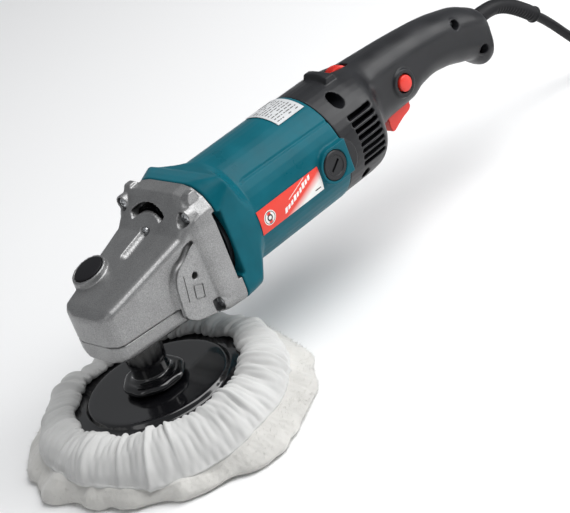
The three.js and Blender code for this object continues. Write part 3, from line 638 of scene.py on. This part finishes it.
def make_guard():
    """The flexible strain relief: smooth above, short ribs under its middle, a rolled end ring."""
    path = [Vector(p) for p in spline(GUARD_ROUTE, 14)]
    lengths = [0.0]
    for a, b in zip(path, path[1:]):
        lengths.append(lengths[-1] + (b - a).length)
    total = lengths[-1]
    even = []
    count = 220
    for k in range(count):
        s = total * k / (count - 1)
        i = min(max(1, int(np.searchsorted(lengths, s))), len(path) - 1)
        t = (s - lengths[i - 1]) / (lengths[i] - lengths[i - 1])
        even.append((s, path[i - 1].lerp(path[i], t)))
    points = []
    segments = 48
    for k, (s, p) in enumerate(even):
        ahead, behind = even[min(k + 1, count - 1)][1], even[max(k - 1, 0)][1]
        along = (ahead - behind).normalized()
        side = Vector((0, 1, 0))
        up = along.cross(side).normalized()
        to_end = total - s
        base = 6.4 + 0.5 * max(0, 1 - s / 26)
        if to_end < 2.6:
            base += 0.75 * math.sqrt(max(0.0, 1 - ((to_end - 1.3) / 1.3) ** 2))
        for i in range(segments):
            angle = 2 * math.pi * i / segments
            radius = base
            below = -math.sin(angle)
            if 32 < s < total - 6:
                ripple = 0.5 + 0.5 * math.cos(2 * math.pi * (s - 32) / 3.4)
                radius -= 0.75 * (1 - ripple) * max(0.0, min(1.0, 1.7 * below))
            points.append(p + radius * (side * math.cos(angle) + up * math.sin(angle)))
    guard = outward(make("guard_sleeve", points, grid_faces(count, segments, caps=True)))
    return dress(guard, "black_rubber", "housing", "cord_guard", sharp=60)


mains_cord, cord_length = make_cord()
coil_tie = make_tie()
plug_pieces = make_plug()
make_guard()

# ------------------------------------------------------------------ gear case


def engraved(points, side_y, width=1.0, depth=0.8):
    """A thin line cut into a cheek, through points in X and Z."""
    tools = []
    for (x0, z0), (x1, z1) in zip(points, points[1:]):
        along = np.array([x1 - x0, z1 - z0])
        across = np.array([-along[1], along[0]]) / np.linalg.norm(along) * width / 2
        corners = [(x0, z0) - across, (x1, z1) - across, (x1, z1) + across, (x0, z0) + across]
        span = (side_y - 1, side_y + depth) if side_y < 0 else (side_y - depth, side_y + 1)
        tools.append(slab([tuple(c) for c in corners], span))
    return tools


# the groove down each cheek, in X and Z
VALLEY = [
    (50.5, 125.2), (49.5, 124.9), (44.6, 123.6), (36.6, 117.7), (27.8, 114), (22.8, 107), (20.8, 95),
    (19.6, 82), (19, 74),
]


def make_case():
    case = copy_of("gear_case", "case_casting")
    marks = []
    for side in (-1, 1):
        cheek = side * 39.5
        marks += engraved([(33, 87.8), (35.1, 97.9), (42.2, 94.7), (40.4, 85.3), (33, 87.8)], cheek)
        marks += engraved([(26.9, 89), (30.1, 108.3)], cheek, 0.8, 0.6)
        cut(case, tube([(x, side * 36.3, z) for x, z in spline(VALLEY, 4)], 2.3, 16))
    soften(case, 0.7, 4, most=math.inf)
    for mark in marks:
        cut(case, mark)
    cut(case, rod("z", LOCK_WELL_R, (LOCK_SEAT_Z, 135), LOCK_BUTTON, 96))
    lighter(case)
    dress(case, "cast_alloy", "housing", "gear_case", sharp=80)
    cover = copy_of("gear_case_cover", "cover_casting")
    soften(cover, 0.6, 3)
    dress(cover, "cast_alloy", "housing", "gear_case_cover", sharp=80)


make_case()

# ------------------------------------------------------------------ screws and caps


def cross_screw(name, axis, at, head_r, head_len, shank_r, length, way=1):
    """A pan-head screw with a cross recess; the head's top faces the low end of the axis when way is 1."""
    along = {"x": at[0], "y": at[1], "z": at[2]}[axis]
    centre = {"x": (at[1], at[2]), "y": (at[0], at[2]), "z": (at[0], at[1])}[axis]
    dome = [(0, 0), (head_r * 0.55, 0.12 * head_len), (head_r * 0.92, 0.5 * head_len), (head_r, head_len)]
    profile = fillet(dome, head_r * 0.3) + [(shank_r, head_len), (shank_r, length - 0.6), (0, length)]
    screw = lathe(name, axis, [(r, along + way * h) for r, h in profile], centre, 48)
    for turn in (0, 1):
        wide, thin = head_r * 0.56, head_r * 0.13
        u, v = (wide, thin) if turn else (thin, wide)
        deep = sorted((along - way, along + way * head_len * 0.62))
        spans = [(centre[0] - u, centre[0] + u), (centre[1] - v, centre[1] + v)]
        spans.insert("xyz".index(axis), deep)
        cut(screw, block(*spans))
    return screw


def make_screws():
    jobs = [("retainer_screw", "x", (41, *RETAINER_SCREW), 3, 2.4, 1.7, 8.8)]
    for k, (x, y, z) in enumerate(FLANGE_SCREWS):
        jobs.append((f"flange_screw_{k + 1}", "x", (x, y, z), 4.9, 3.2, 2.3, 84.8 - x))
    for k, (x, y) in enumerate(((-22, -19), (-22, 19), (20, -27), (20, 27))):
        jobs.append((f"cover_screw_{k + 1}", "z", (x, y, 73.4), 3.4, 2.6, 1.4, 20))
    for k, (x, z, _) in enumerate(SHELL_SCREWS):
        jobs.append((f"shell_screw_{k + 1}", "y", (x, -12.4, z), 3.6, 2.6, 1.7, 21))
    for name, axis, at, head_r, head_len, shank_r, length in jobs:
        screw = cross_screw("turned_" + name, axis, at, head_r, head_len, shank_r, length)
        dress(screw, "bare_steel", "housing", name)


def make_lock_button():
    """The button's top follows the slope of the head; its sides and its pin stay upright."""
    side = fillet([(LOCK_CAP_R, 121.5), (LOCK_CAP_R, 125.6), (9.6, 125.9)], 1.2)
    profile = [(0, 121.2), (10.8, 121.2), *side, (0, 126)]
    cap = lathe("lock_cap", "z", profile, LOCK_BUTTON, 96)
    for vertex in cap.data.vertices:
        if vertex.co.z > 0.1235:
            vertex.co.z += HEAD_SLOPE * (vertex.co.x - MM * LOCK_BUTTON[0])
    join(cap, rod("z", 2, (101.4, 122), (-0.7, 14.4)))
    dress(cap, "black_rubber", "lock_button", "spindle_lock_button")


def make_brush_caps():
    for side, word in ((-1, "left"), (1, "right")):
        rim = [(0, 43), (11.2, 43), (11.2, 47.1), (10.5, 47.8), (7.9, 47.8), (7.4, 47.2), (0, 47.2)]
        profile = [(r, side * y) for r, y in rim]
        cap = lathe("brush_lid_" + word, "y", profile, (BRUSH_X, AXIS_Z), 96)
        stem = sorted((side * 33, side * 43.6))
        join(cap, rod("y", 3.1, stem, (BRUSH_X, AXIS_Z)))
        deep = sorted((side * 45.6, side * 49))
        slot_x, slot_z = 5.4, 1.0
        turn = math.radians(35)
        outline = []
        for u, v in ((-slot_x, -slot_z), (slot_x, -slot_z), (slot_x, slot_z), (-slot_x, slot_z)):
            outline.append((
                BRUSH_X + u * math.cos(turn) - v * math.sin(turn),
                AXIS_Z + u * math.sin(turn) + v * math.cos(turn),
            ))
        cut(cap, slab(outline, deep))
        dress(cap, "black_plastic", "housing", "brush_cap_" + word)


make_screws()
make_lock_button()
make_brush_caps()

# ------------------------------------------------------------------ motor housing


def make_housing():
    end_x = HOUSING_END_X - GAP
    barrel = (BARREL_R, AXIS_Z - BARREL_R, AXIS_Z + BARREL_R, BARREL_R, BARREL_R)
    rows = [
        (FLANGE_X + GAP, 44.4, 62.6, 156, 26, 9), (80, 44.7, 62.8, 155.4, 18, 10),
        (88.5, 45, 63.2, 154, 8, 12), (91, 44.9, 63.6, 152.6, 14, 18), (97, 44.5, 64.2, 152.8, 32, 34),
        (103, *barrel), (end_x, *barrel),
    ]
    shell = loft("housing_shell", [section(*row) for row in rows])
    middle = (BRUSH_X, AXIS_Z)
    for side in (-1, 1):
        span = sorted((side * 38, side * 47.4))
        tail = block((BRUSH_X, end_x), span, (AXIS_Z - 13.6, AXIS_Z + 13.6))
        join(shell, rod("y", 14, span, middle, 96), tail)
    centre = (0, AXIS_Z)
    cut(shell, rod("x", 40.7, (FLANGE_X - 1, 189.5), centre, 96))
    cut(shell, rod("x", 39.6, (192.5, HOUSING_END_X + 1), centre, 96))
    join(shell, rod("x", 14.5, (189, end_x), centre))
    cut(shell, rod("x", 11.3, (186, 200), centre), rod("y", 11.6, (-60, 60), middle, 96))
    vents = [block((70, 75.5), sorted((side * 30, side * 50)), (83, 135)) for side in (-1, 1)]
    holes = [rod("x", 2.6, (70, 86), (y, z), 24) for _, y, z in FLANGE_SCREWS]
    cut(shell, *vents, *holes)
    groove = [
        (106, -35.4, 137.2), (109, -34.6, 138.2), (114, -34.3, 138.3), (150, -34.8, 137.6),
        (198, -35.6, 136.4),
    ]
    groove_r = BARREL_R + 0.2
    lifted = []
    for x, y, z in spline(groove, 6):
        out = Vector((0, y, z - AXIS_Z)).normalized()
        lifted.append((x, out.y * groove_r, AXIS_Z + out.z * groove_r))
    cut(shell, tube(lifted, 1.35, 12))
    soften(shell, 0.8, 3)
    dress(shell, "teal_plastic", "housing", "motor_housing", sharp=80)


make_housing()

# ------------------------------------------------------------------ handle shells

# x, half width, low, high and corner radius
HANDLE = [
    (197.7, 43.6, 65.4, 152.6, 43.6), (230, 43.4, 65.6, 152.4, 43.4), (239, 42.2, 66.6, 151.2, 41.4),
    (245, 38.6, 70, 150, 36.5), (249.5, 32.5, 75.5, 149.2, 30), (254, 27, 81.5, 148.6, 25),
    (261, 23.6, 87, 148, 22), (273, 21.6, 90.2, 147.4, 20), (303, 20, 91.2, 145.6, 19.5),
    (316, 19.4, 95.4, 144.4, 19), (332, 19, 97.2, 142.6, 18.5), (350, 19, 94.8, 140, 18.5),
    (367, 19, 89.6, 136, 18.5), (379, 19, 85, 132.6, 18.5), (384.5, 19, 79.6, 130.2, 18),
    (389.5, 18.8, 76, 127.4, 17.5), (394.4, 18, 77.2, 124.6, 16), (397.6, 16.5, 82.5, 122, 14.5),
    (399, 14.5, 87, 120, 12.5),
]


def handle_blank():
    """The hollow grip of both shells in one, with the guard fin over the dial."""
    rows = eased(HANDLE, 160)
    shell = loft("shell", [section(x, half, low, high, r) for x, half, low, high, r in rows])
    fin = slab(
        fillet([(222.5, 140), (223.6, 152), (226.5, 156.8), (231, 157), (235, 151.5), (236, 140)], 2, 3),
        (-15.5, 9.5),
    )
    boolean(fin, [rod("x", 47.6, (210, 240), (0, AXIS_Z), 96)], "INTERSECT")
    join(shell, fin)
    inside = [row for row in rows if row[0] < 396]
    cavity = loft("tool", [
        section(x - (2 if k == 0 else 0), half - 3, low + 3, high - 3, r - 3)
        for k, (x, half, low, high, r) in enumerate(inside)
    ])
    cut(shell, cavity)
    return shell


def make_handle():
    """Both shells are cut from one softened blank, so that they meet in a hairline."""
    blank = handle_blank()
    posts = [rod("y", bore + 1.2, (-16, 16), (x, z), 32) for x, z, bore in SHELL_SCREWS[2:]]
    for x, z, bore in SHELL_SCREWS[:2]:
        wide_post = rod("y", bore + 1.2, (-40, 40), (x, z), 32)
        posts.append(boolean(wide_post, [rod("x", 43, (205, 230), (0, AXIS_Z), 96)], "INTERSECT"))
    collar = lathe("tool", "y", [(0, -23), (11, -23), (11.5, -20.6), (13, -16), (0, -16)], LOCK_ON)
    pads = rod("y", 15, (-45.7, 45.7), (190.5, 107.5), 96)
    boolean(pads, [block((197.7, 210), (-50, 50), (80, 130))], "INTERSECT")
    cut(pads, rod("x", 41.5, (190, 215), (0, AXIS_Z), 96))
    join(blank, pads, collar, *posts)
    vents = []
    for k in range(8):
        z = 128 - 5.4 * k
        vents.append(block((213.5, 238.5), (-50, 50), (z - 1.75, z + 1.75)))
    trigger_way = block((275.4, 304), (-7, 7), (60, 98))
    dial_way = block((DIAL[0] - 12, DIAL[0] + 12), (-4.7, 4.7), (137, 160))
    cord_way = rod("x", 6.95, (388, 420), (0, 111))
    heads = [rod("y", bore, (-60, -9.5), (x, z), 32) for x, z, bore in SHELL_SCREWS]
    holes = [rod("y", 2.2, (-60, 10), (x, z), 24) for x, z, _ in SHELL_SCREWS]
    button_way = rod("y", 7.5, (-30, -10), LOCK_ON)
    cut(blank, *vents, trigger_way, dial_way, cord_way, *heads, *holes, button_way)
    soften(blank, 0.7, 3, most=math.inf)
    for side, word in ((-1, "left"), (1, "right")):
        shell = add_object("shell_" + word, blank.data.copy())
        boolean(shell, [block((190, 420), sorted((side * 60, side * 0.07)), (40, 180))], "INTERSECT")
        lighter(shell)
        dress(shell, "black_plastic", "housing", "handle_" + word, sharp=60)
    bpy.data.objects.remove(blank)


make_handle()


def make_controls():
    lever = [
        (277, 95.5), (276.2, 84), (276.6, 78.6), (279, 77.8), (285, 80.6), (292, 83.4), (299, 85),
        (302, 87.5), (301.6, 95.5),
    ]
    trigger = slab(fillet(lever, 2.4, 4, closed=True), (-6.4, 6.4), "trigger_lever")
    soften(trigger, 0.4, 5)
    dress(trigger, "red_plastic", "trigger", "trigger", sharp=80)
    profile = [(0, -24.9)] + fillet([(3.5, -24.7), (6.5, -24.1), (6.5, -14.4)], 1.2) + [(0, -14.4)]
    button = lathe("lock_on_cap", "y", profile, LOCK_ON, 96)
    dress(button, "red_plastic", "lock_on", "lock_on_button")

    def knurl(angle, r, h):
        return r + 0.35 * math.cos(56 * angle) if r > 11 else r

    wheel = [(0, -4), (11.6, -4), (12.6, -3.2), (12.6, 3.2), (11.6, 4), (0, 4)]
    dial = lathe("speed_wheel", "y", wheel, DIAL, 448, knurl)
    join(dial, rod("y", 1.3, (-6.4, -3.5), DIAL, 24))
    dress(dial, "red_plastic", "dial", "speed_dial")


make_controls()

# ------------------------------------------------------------------ backing plate, hub and foam


def make_plate():
    profile = fillet([
        (8, 21.5), (88, 21.5), (88, 24.5), (84, 26.6), (58, 28.0), (54.5, 28.4), (52.4, 32.3), (49.6, 32.5),
        (30, 32.3), (8, 32.5),
    ], 1.6, 6)
    plate = lathe("plate_moulding", "z", profile, segments=192)
    dress(plate, "gloss_black", "spindle", "backing_plate", sharp=60)
    foam_edge = fillet([(80, 11.4), (86, 11.4), (86, 21.2), (80, 21.2)], 3)
    foam = lathe("foam_disc", "z", [(0, 11.4), *foam_edge, (0, 21.2)], segments=128)
    dress(foam, "foam", "spindle", "foam_pad", sharp=60)


def make_hub():
    """The pad's hub: a thick glossy ring with eight low swells, under a stepped neck."""
    ring_low, ring_high = 32.8, 41.5
    ring = [(19 + 4.0 * math.cos(a), 36.8 + 3.9 * math.sin(a)) for a in np.linspace(-1.4, 2.0, 16)]
    profile = [(7.3, ring_low), (16, ring_low)] + ring + fillet([
        (16.2, 40.6), (13.8, 42.4), (13.6, 51), (14.6, 52), (14.6, 71.6), (11.4, 71.6), (11.4, 66), (7.3, 66),
    ], 1, 4)

    def swollen(angle, r, h):
        if r < 17 or h > ring_high:
            return r
        swell = 0.5 + 0.5 * math.cos(8 * (angle + math.radians(158)))
        return r + 1.1 * swell * math.sin(math.pi * (h - ring_low) / (ring_high - ring_low))

    hub = lathe("hub_moulding", "z", profile, segments=192, shape=swollen)
    soften(hub, 0.5, 6)
    dress(hub, "gloss_black", "spindle", "pad_hub", sharp=80)


make_plate()
make_hub()

# ------------------------------------------------------------------ bonnet

theta = np.linspace(0, 2 * math.pi, 960, endpoint=False)


def round_table(pairs):
    """A smooth closed function of the angle in degrees, through (angle, value) pairs."""
    pairs = sorted((a % 360, v) for a, v in pairs)
    angles = np.array([a for a, _ in pairs])
    values = np.array([v for _, v in pairs], float)
    angles = np.concatenate([angles - 360, angles, angles + 360])
    values = np.tile(values, 3)
    fine = np.interp(np.degrees(theta), angles, values)
    kernel = np.hanning(25)
    kernel /= kernel.sum()
    return np.convolve(np.concatenate([fine[-12:], fine, fine[:12]]), kernel, "valid")


def ripple(count, low, high, turns=0.0):
    """A random closed wave round the bonnet, as a function of its other coordinate."""
    waves = []
    for _ in range(count):
        waves.append((
            rng.integers(low, high),
            rng.uniform(0, 2 * math.pi),
            rng.uniform(-turns, turns),
            rng.uniform(0.5, 1),
        ))
    norm = math.sqrt(sum(size**2 for *_, size in waves) / 2)

    def value(v):
        turned = v[:, None] * 2 * math.pi
        total = sum(size * np.sin(k * theta[None, :] + start + t * turned) for k, start, t, size in waves)
        return total / norm

    return value


def through(controls, count):
    """Rows of a surface round the axis through control rings, each an (r, z) pair of arrays or numbers."""
    rings = np.array([[np.broadcast_to(value, theta.shape) for value in ring] for ring in controls])
    padded = np.concatenate([[2 * rings[0] - rings[1]], rings, [2 * rings[-1] - rings[-2]]])
    made = []
    for s in np.linspace(0, len(rings) - 1, count):
        k = min(int(s), len(rings) - 2)
        t = s - k
        made.append(catmull_rom(*padded[k : k + 4], t))
    return np.array(made)


# the bonnet's outline: degrees round the axis, with millimetres from it or above the floor
SEAM_R = round_table([
    (-27, 93), (-51, 95), (-68, 99), (-80, 100), (-89, 100), (-101, 104), (-112, 105), (-120, 105.5),
    (-137, 105), (-148, 100), (-165, 97), (172, 95.5), (140, 94), (100, 94), (60, 95), (30, 94), (0, 93.5),
])
SEAM_Z = round_table([
    (-27, 18), (-51, 17.5), (-68, 15.5), (-89, 14.5), (-101, 12.5), (-120, 11), (-137, 11.5), (-148, 13),
    (-165, 15), (172, 16.5), (100, 17), (30, 17),
])
SKIRT_R = round_table([
    (-12, 103), (-24, 106), (-41, 108.5), (-52, 111.5), (-63, 112), (-74, 114.5), (-84, 119), (-92, 124.5),
    (-99, 123.5), (-104, 122), (-107, 116.5), (-116, 117), (-125, 114), (-136, 107), (-143, 110),
    (-150, 109.5), (-157, 105), (-166, 106), (-173, 105), (180, 103.5), (171, 112), (166, 112), (158, 107),
    (150, 109), (143, 109.5), (132, 109.5), (118, 106), (100, 110), (84, 107), (66, 112), (48, 107),
    (30, 110), (14, 104), (2, 106),
])


def polar_mesh(name, rows, closed_tips=()):
    """A mesh of (r, z) rows round the axis; closed_tips are heights of points that close its two ends."""
    count = len(theta)
    x, y = rows[:, 0] * np.cos(theta), rows[:, 0] * np.sin(theta)
    points = np.stack([x, y, rows[:, 1]], axis=2).reshape(-1, 3)
    faces = grid_faces(len(rows), count)
    if closed_tips:
        points = np.concatenate([points, [[0, 0, closed_tips[0]], [0, 0, closed_tips[1]]]])
        first, last = len(points) - 2, len(points) - 1
        end = (len(rows) - 1) * count
        for i in range(count):
            j = (i + 1) % count
            faces.append((j, i, first))
            faces.append((end + i, end + j, last))
    return make(name, points, faces)


def along_normal(rows, height):
    """Pushes each row's points out across the surface by height."""
    dr, dz = np.gradient(rows[:, 0], axis=0), np.gradient(rows[:, 1], axis=0)
    size = np.hypot(dr, dz) + 1e-9
    moved = rows.copy()
    moved[:, 0] += -dz / size * height
    moved[:, 1] += dr / size * height
    return moved


def pleats(v, count, tall, broad, reach):
    """Sharp radial folds that start at the gathered hem and die out across the cover."""
    total = np.zeros((len(v), len(theta)))
    angles = np.sort((np.arange(count) + rng.uniform(-0.42, 0.42, count)) * 2 * math.pi / count)
    for angle in angles:
        height = rng.uniform(*tall)
        width = math.radians(rng.uniform(*broad))
        end = rng.uniform(*reach)
        drift = math.radians(rng.uniform(-4.5, 4.5))
        lean = rng.choice([-1, 1])
        centre = angle + drift * v[:, None]
        offset = lean * (np.mod(theta[None, :] - centre + math.pi, 2 * math.pi) - math.pi)
        widening = width * (0.8 + 1.3 * v[:, None])
        u = offset / widening
        crest = np.where(u < 0, np.exp(-(u * 2.4) ** 2), np.exp(-np.abs(u) ** 1.3))
        dip = -0.42 * np.exp(-((u + 1.5) / 0.75) ** 2)
        fade = np.clip((end - v[:, None]) / (0.4 * end), 0, 1)
        total += height * (crest + dip) * fade * fade * (3 - 2 * fade)
    return total


def make_cover():
    count = 84
    v = np.linspace(0, 1, count)
    hem_wave = ripple(5, 40, 74)(np.zeros(1))[0]
    hem_low = ripple(4, 5, 14)(np.zeros(1))[0]
    hem = 64.7 + 0.7 * hem_low + 0.55 * hem_wave
    lift = 0.5 * hem_low
    rows = through([
        (hem + 1.6, 28.8), (hem - 0.3, 29.6 + lift), (hem + 0.1, 31.6 + lift), (67.6 + 0.3 * hem_low, 33.7),
        (73, 34.5), (80, 33.2), (87, 29.8), (SEAM_R * 0.55 + 39.6, SEAM_Z * 0.45 + 16.6),
        (SEAM_R - 1.6, SEAM_Z + 2.4), (SEAM_R - 0.2, SEAM_Z + 0.6), (SEAM_R - 1.8, SEAM_Z - 0.9),
    ], count)
    near_hem = np.exp(-((v - 0.2) / 0.10) ** 2)[:, None]
    belly = np.clip(np.sin(math.pi * np.clip((v - 0.12) / 0.88, 0, 1)), 0, 1)[:, None]
    height = pleats(v, 21, (0.9, 2.8), (0.8, 1.9), (0.5, 1.2))
    height += pleats(v, 56, (0.3, 1.2), (0.45, 1.0), (0.25, 0.5))
    waves = 1.3 * ripple(6, 5, 15, 0.5)(v)
    waves += 0.55 * ripple(6, 16, 40, 1.4)(v)
    waves += 0.22 * ripple(10, 50, 120, 4)(v)
    height += belly * waves
    height += near_hem * 0.55 * ripple(5, 60, 100)(v)
    height *= np.clip((v - 0.06) / 0.12, 0, 1)[:, None]
    rows = along_normal(rows, height)
    cover = polar_mesh("bonnet_cover", rows)
    cloth = cover.modifiers.new("cloth", "SOLIDIFY")
    cloth.thickness = 0.9 * MM
    cloth.offset = -1
    baked(cover)
    return cover


def make_fleece():
    rows = through([
        (86, 11.1), (88.5, 12.5), (SEAM_R - 6, SEAM_Z - 1.2), (SEAM_R - 0.9, SEAM_Z + 0.5),
        (SEAM_R * 0.66 + SKIRT_R * 0.34, SEAM_Z * 0.82 + 0.5),
        (SEAM_R * 0.25 + SKIRT_R * 0.75 + 0.6, SEAM_Z * 0.5 + 1.4),
        (SKIRT_R + 0.4, 4.4), (SKIRT_R - 0.8, 1.6), (SKIRT_R - 4.5, 0.15), (SKIRT_R - 12, 0), (60, 0),
    ], 96)
    v = np.linspace(0, 1, 96)
    outside = np.clip((v - 0.27) / 0.1, 0, 1) * np.clip((0.86 - v) / 0.1, 0, 1)
    lumps = 1.15 * ripple(8, 6, 20, 0.7)(v)
    lumps += 0.3 * ripple(10, 22, 50, 1.5)(v)
    lumps += 0.05 * ripple(10, 90, 190, 6)(v)
    rows = along_normal(rows, outside[:, None] * lumps)
    rows[:, 1] = np.maximum(rows[:, 1], 0.0)
    return outward(polar_mesh("bonnet_fleece", rows, (11.1, 0.0)))


def make_fibres(fleece):
    """Loose wool fibres that stand off the skirt."""
    points, faces = [], []
    mesh = fleece.data
    chosen = [f for f in mesh.polygons if f.center.z > 0.0009 and math.hypot(f.center.x, f.center.y) > 0.1]
    for face in rng.choice(len(chosen), 5200):
        polygon = chosen[int(face)]
        root = np.array(polygon.center) / MM
        out = np.array(polygon.normal)
        droop = rng.normal(0, 0.8, 3)
        tip = root + rng.uniform(0.7, 1.9) * (out + droop)
        tip[2] = max(tip[2], 0.05)
        side = np.cross(out, rng.normal(0, 1, 3))
        side = side / (np.linalg.norm(side) + 1e-9) * 0.1
        deep = root - 0.4 * out
        deep[2] = max(deep[2], 0.02)
        middle = (deep + tip) / 2 + rng.normal(0, 0.25, 3)
        middle[2] = max(middle[2], 0.04)
        third = np.cross(side, out)
        a = len(points)
        points += [deep - side, deep + side, deep + third]
        points += [middle - side * 0.7, middle + side * 0.7, middle + third * 0.7, tip]
        faces.append((a, a + 2, a + 1))
        faces += [(a, a + 1, a + 4, a + 3), (a + 1, a + 2, a + 5, a + 4), (a + 2, a, a + 3, a + 5)]
        faces += [(a + 3, a + 4, a + 6), (a + 4, a + 5, a + 6), (a + 5, a + 3, a + 6)]
    for p in points:
        p[2] = max(p[2], 0.0)
    return make("fleece_fibres", points, faces)


def make_bonnet():
    cover = make_cover()
    dress(cover, "wool", "spindle", "bonnet", sharp=180)
    fleece = make_fleece()
    fibres = make_fibres(fleece)
    dress(fleece, "wool", "spindle", "bonnet", sharp=180, material=MATERIALS["fleece"])
    dress(fibres, "wool", "spindle", sharp=180, material=MATERIALS["fleece"])


make_bonnet()

# ------------------------------------------------------------------ labels


def curved_patch(name, corners, radius, thick=0.05, steps=14):
    """A thin raised patch on the motor housing; its corners are (x, angle from +Y towards +Z), in order."""
    first, second, third, fourth = (np.array(c, float) for c in corners)
    layers = []
    for r in (radius, radius + thick):
        for i in range(steps + 1):
            for j in range(steps + 1):
                s, t = i / steps, j / steps
                near = (1 - s) * (1 - t) * first + s * (1 - t) * second
                x, angle = near + s * t * third + (1 - s) * t * fourth
                angle = math.radians(angle)
                layers.append((x, r * math.cos(angle), AXIS_Z + r * math.sin(angle)))
    n = steps + 1
    top = n * n
    faces = []
    for i in range(steps):
        for j in range(steps):
            a, b, c, d = i * n + j, (i + 1) * n + j, (i + 1) * n + j + 1, i * n + j + 1
            faces += [(a, b, c, d), (top + a, top + d, top + c, top + b)]
    edge = [i * n for i in range(n)] + [steps * n + j for j in range(1, n)]
    edge += [i * n + steps for i in range(steps - 1, -1, -1)] + [j for j in range(steps - 1, 0, -1)]
    for a, b in zip(edge, edge[1:] + edge[:1]):
        faces.append((a, b, top + b, top + a))
    return outward(make(name, layers, faces))


def curved_disc(name, x, z, disc_r, hole_r, radius, segments=40):
    """A flat ring or disc on the housing's side at height z."""
    centre = math.asin((z - AXIS_Z) / radius)
    rows = []
    for r_patch, lift in ((hole_r, 0), (disc_r, 0), (disc_r, 0.05), (hole_r, 0.05)):
        for i in range(segments):
            angle = 2 * math.pi * i / segments
            around = centre + r_patch * math.sin(angle) / radius
            rows.append((
                x + r_patch * math.cos(angle),
                -(radius + lift) * math.cos(around),
                AXIS_Z + (radius + lift) * math.sin(around),
            ))
    return outward(make(name, rows, grid_faces(4, segments, ring=True)))


def label_finish(name, low, high, line=None):
    """Printed film; line is (x, z) twice in millimetres, with white fading in on its lower right side."""
    material, tree, shader = new_material(name)
    fibre = texture(tree, "ShaderNodeTexNoise", 0.8, Detail=3.0)
    slow = texture(tree, "ShaderNodeTexNoise", 18, Detail=2.0)
    if line:
        place = tree.nodes["place"]
        split = tree.nodes.new("ShaderNodeSeparateXYZ")
        tree.links.new(place.outputs["Object"], split.inputs[0])
        (x0, z0), (x1, z1) = line
        along = Vector((x1 - x0, z1 - z0)).normalized()
        across = Vector((along.y, -along.x))
        terms = []
        for axis, weight, origin in (("X", across.x, x0), ("Z", across.y, z0)):
            node = tree.nodes.new("ShaderNodeMath")
            node.operation = "MULTIPLY_ADD"
            tree.links.new(split.outputs[axis], node.inputs[0])
            node.inputs[1].default_value = weight / (12 * MM)
            node.inputs[2].default_value = -origin * weight / 12
            terms.append(node)
        total = tree.nodes.new("ShaderNodeMath")
        tree.links.new(terms[0].outputs[0], total.inputs[0])
        tree.links.new(terms[1].outputs[0], total.inputs[1])
        tint = ramp(tree, total.outputs[0], [(0.0, low), (0.55, high)])
    else:
        tint = ramp(tree, slow.outputs["Fac"], [(0.3, low), (0.7, high)])
    tree.links.new(tint, shader.inputs["Base Color"])
    tree.links.new(ramp(tree, slow.outputs["Fac"], [(0.3, 0.28), (0.7, 0.42)]), shader.inputs["Roughness"])
    bump(tree, shader, [(fibre.outputs["Fac"], 0.006)])
    return material


def make_labels():
    low = BARREL_R + 0.32
    side_corners = [(102.6, 195.5), (167, 195.5), (167, 171), (102.6, 171)]
    side = curved_patch("side_label_film", side_corners, low, 0.35, 30)
    printed = label_finish("label_print", (0.78, 0.04, 0.02), (0.86, 0.85, 0.82), ((121, 95), (166, 113.5)))
    dress(side, "label_red", "housing", "side_label", material=printed)
    white = label_finish("label_white", (0.82, 0.81, 0.79), (0.9, 0.89, 0.87))
    dark = label_finish("label_ink", (0.02, 0.02, 0.02), (0.05, 0.05, 0.05))
    top = low + 0.36
    emblem_at = (112.2, 106.4)
    emblem = curved_disc("emblem_disc", *emblem_at, 5.6, 0.02, top)
    dress(emblem, "label_red", "housing", material=white)
    for k, (outer, inner) in enumerate(((4.9, 4.4), (2.6, 1.5))):
        ring = curved_disc(f"emblem_ring_{k + 1}", *emblem_at, outer, inner, top + 0.06)
        dress(ring, "label_red", "housing", material=dark)
    for k in range(9):
        x = 126.5 + 3.5 * k
        angle = 189.5 - 1.72 * k
        tall, wide = (3.6, 2.3) if k % 3 else (4.6, 2.6)
        corners = [(x, angle + 1.4), (x + wide, angle + 0.6)]
        corners += [(x + wide + 0.9, angle - tall), (x + 0.9, angle - tall + 0.8)]
        bar = curved_patch(f"print_bar_{k + 1}", corners, top, 0.04, 4)
        dress(bar, "label_red", "housing", material=white)
    stroke = [(133, 180.6), (152, 171.9), (152.3, 171.2), (133.3, 179.9)]
    line = curved_patch("print_line_1", stroke, top, 0.04, 6)
    dress(line, "label_red", "housing", material=white)
    dash = [(158.6, 191.5), (164.5, 191.5), (164.5, 190.3), (158.6, 190.3)]
    small = curved_patch("print_line_2", dash, top, 0.04, 4)
    dress(small, "label_red", "housing", material=dark)
    plate = curved_patch("rating_foil", [(166, 117), (193.5, 117), (193.5, 70), (166, 70)], low, 0.35, 30)
    foil = label_finish("label_foil", (0.56, 0.57, 0.58), (0.68, 0.69, 0.70))
    dress(plate, "label_silver", "housing", "rating_plate", material=foil)
    lines = []
    for k in range(9):
        angle = 113.5 - 4.1 * k
        x = 168.4
        while x < 190:
            length = random.uniform(1.2, 4.6)
            end = min(x + length, 191.4)
            lines.append([(x, angle), (end, angle), (end, angle - 1.15), (x, angle - 1.15)])
            x = end + random.uniform(0.6, 1.4)
            if random.random() < 0.12:
                x += 4
    for k in range(12):
        x = 178 + k * 1.05
        lines.append([(x, 76), (x + random.choice([0.4, 0.7]), 76), (x + 0.5, 72), (x, 72)])
    for k, corners in enumerate(lines):
        bar = curved_patch(f"rating_line_{k + 1}", corners, top, 0.04, 2)
        dress(bar, "label_silver", "housing", material=dark)


make_labels()
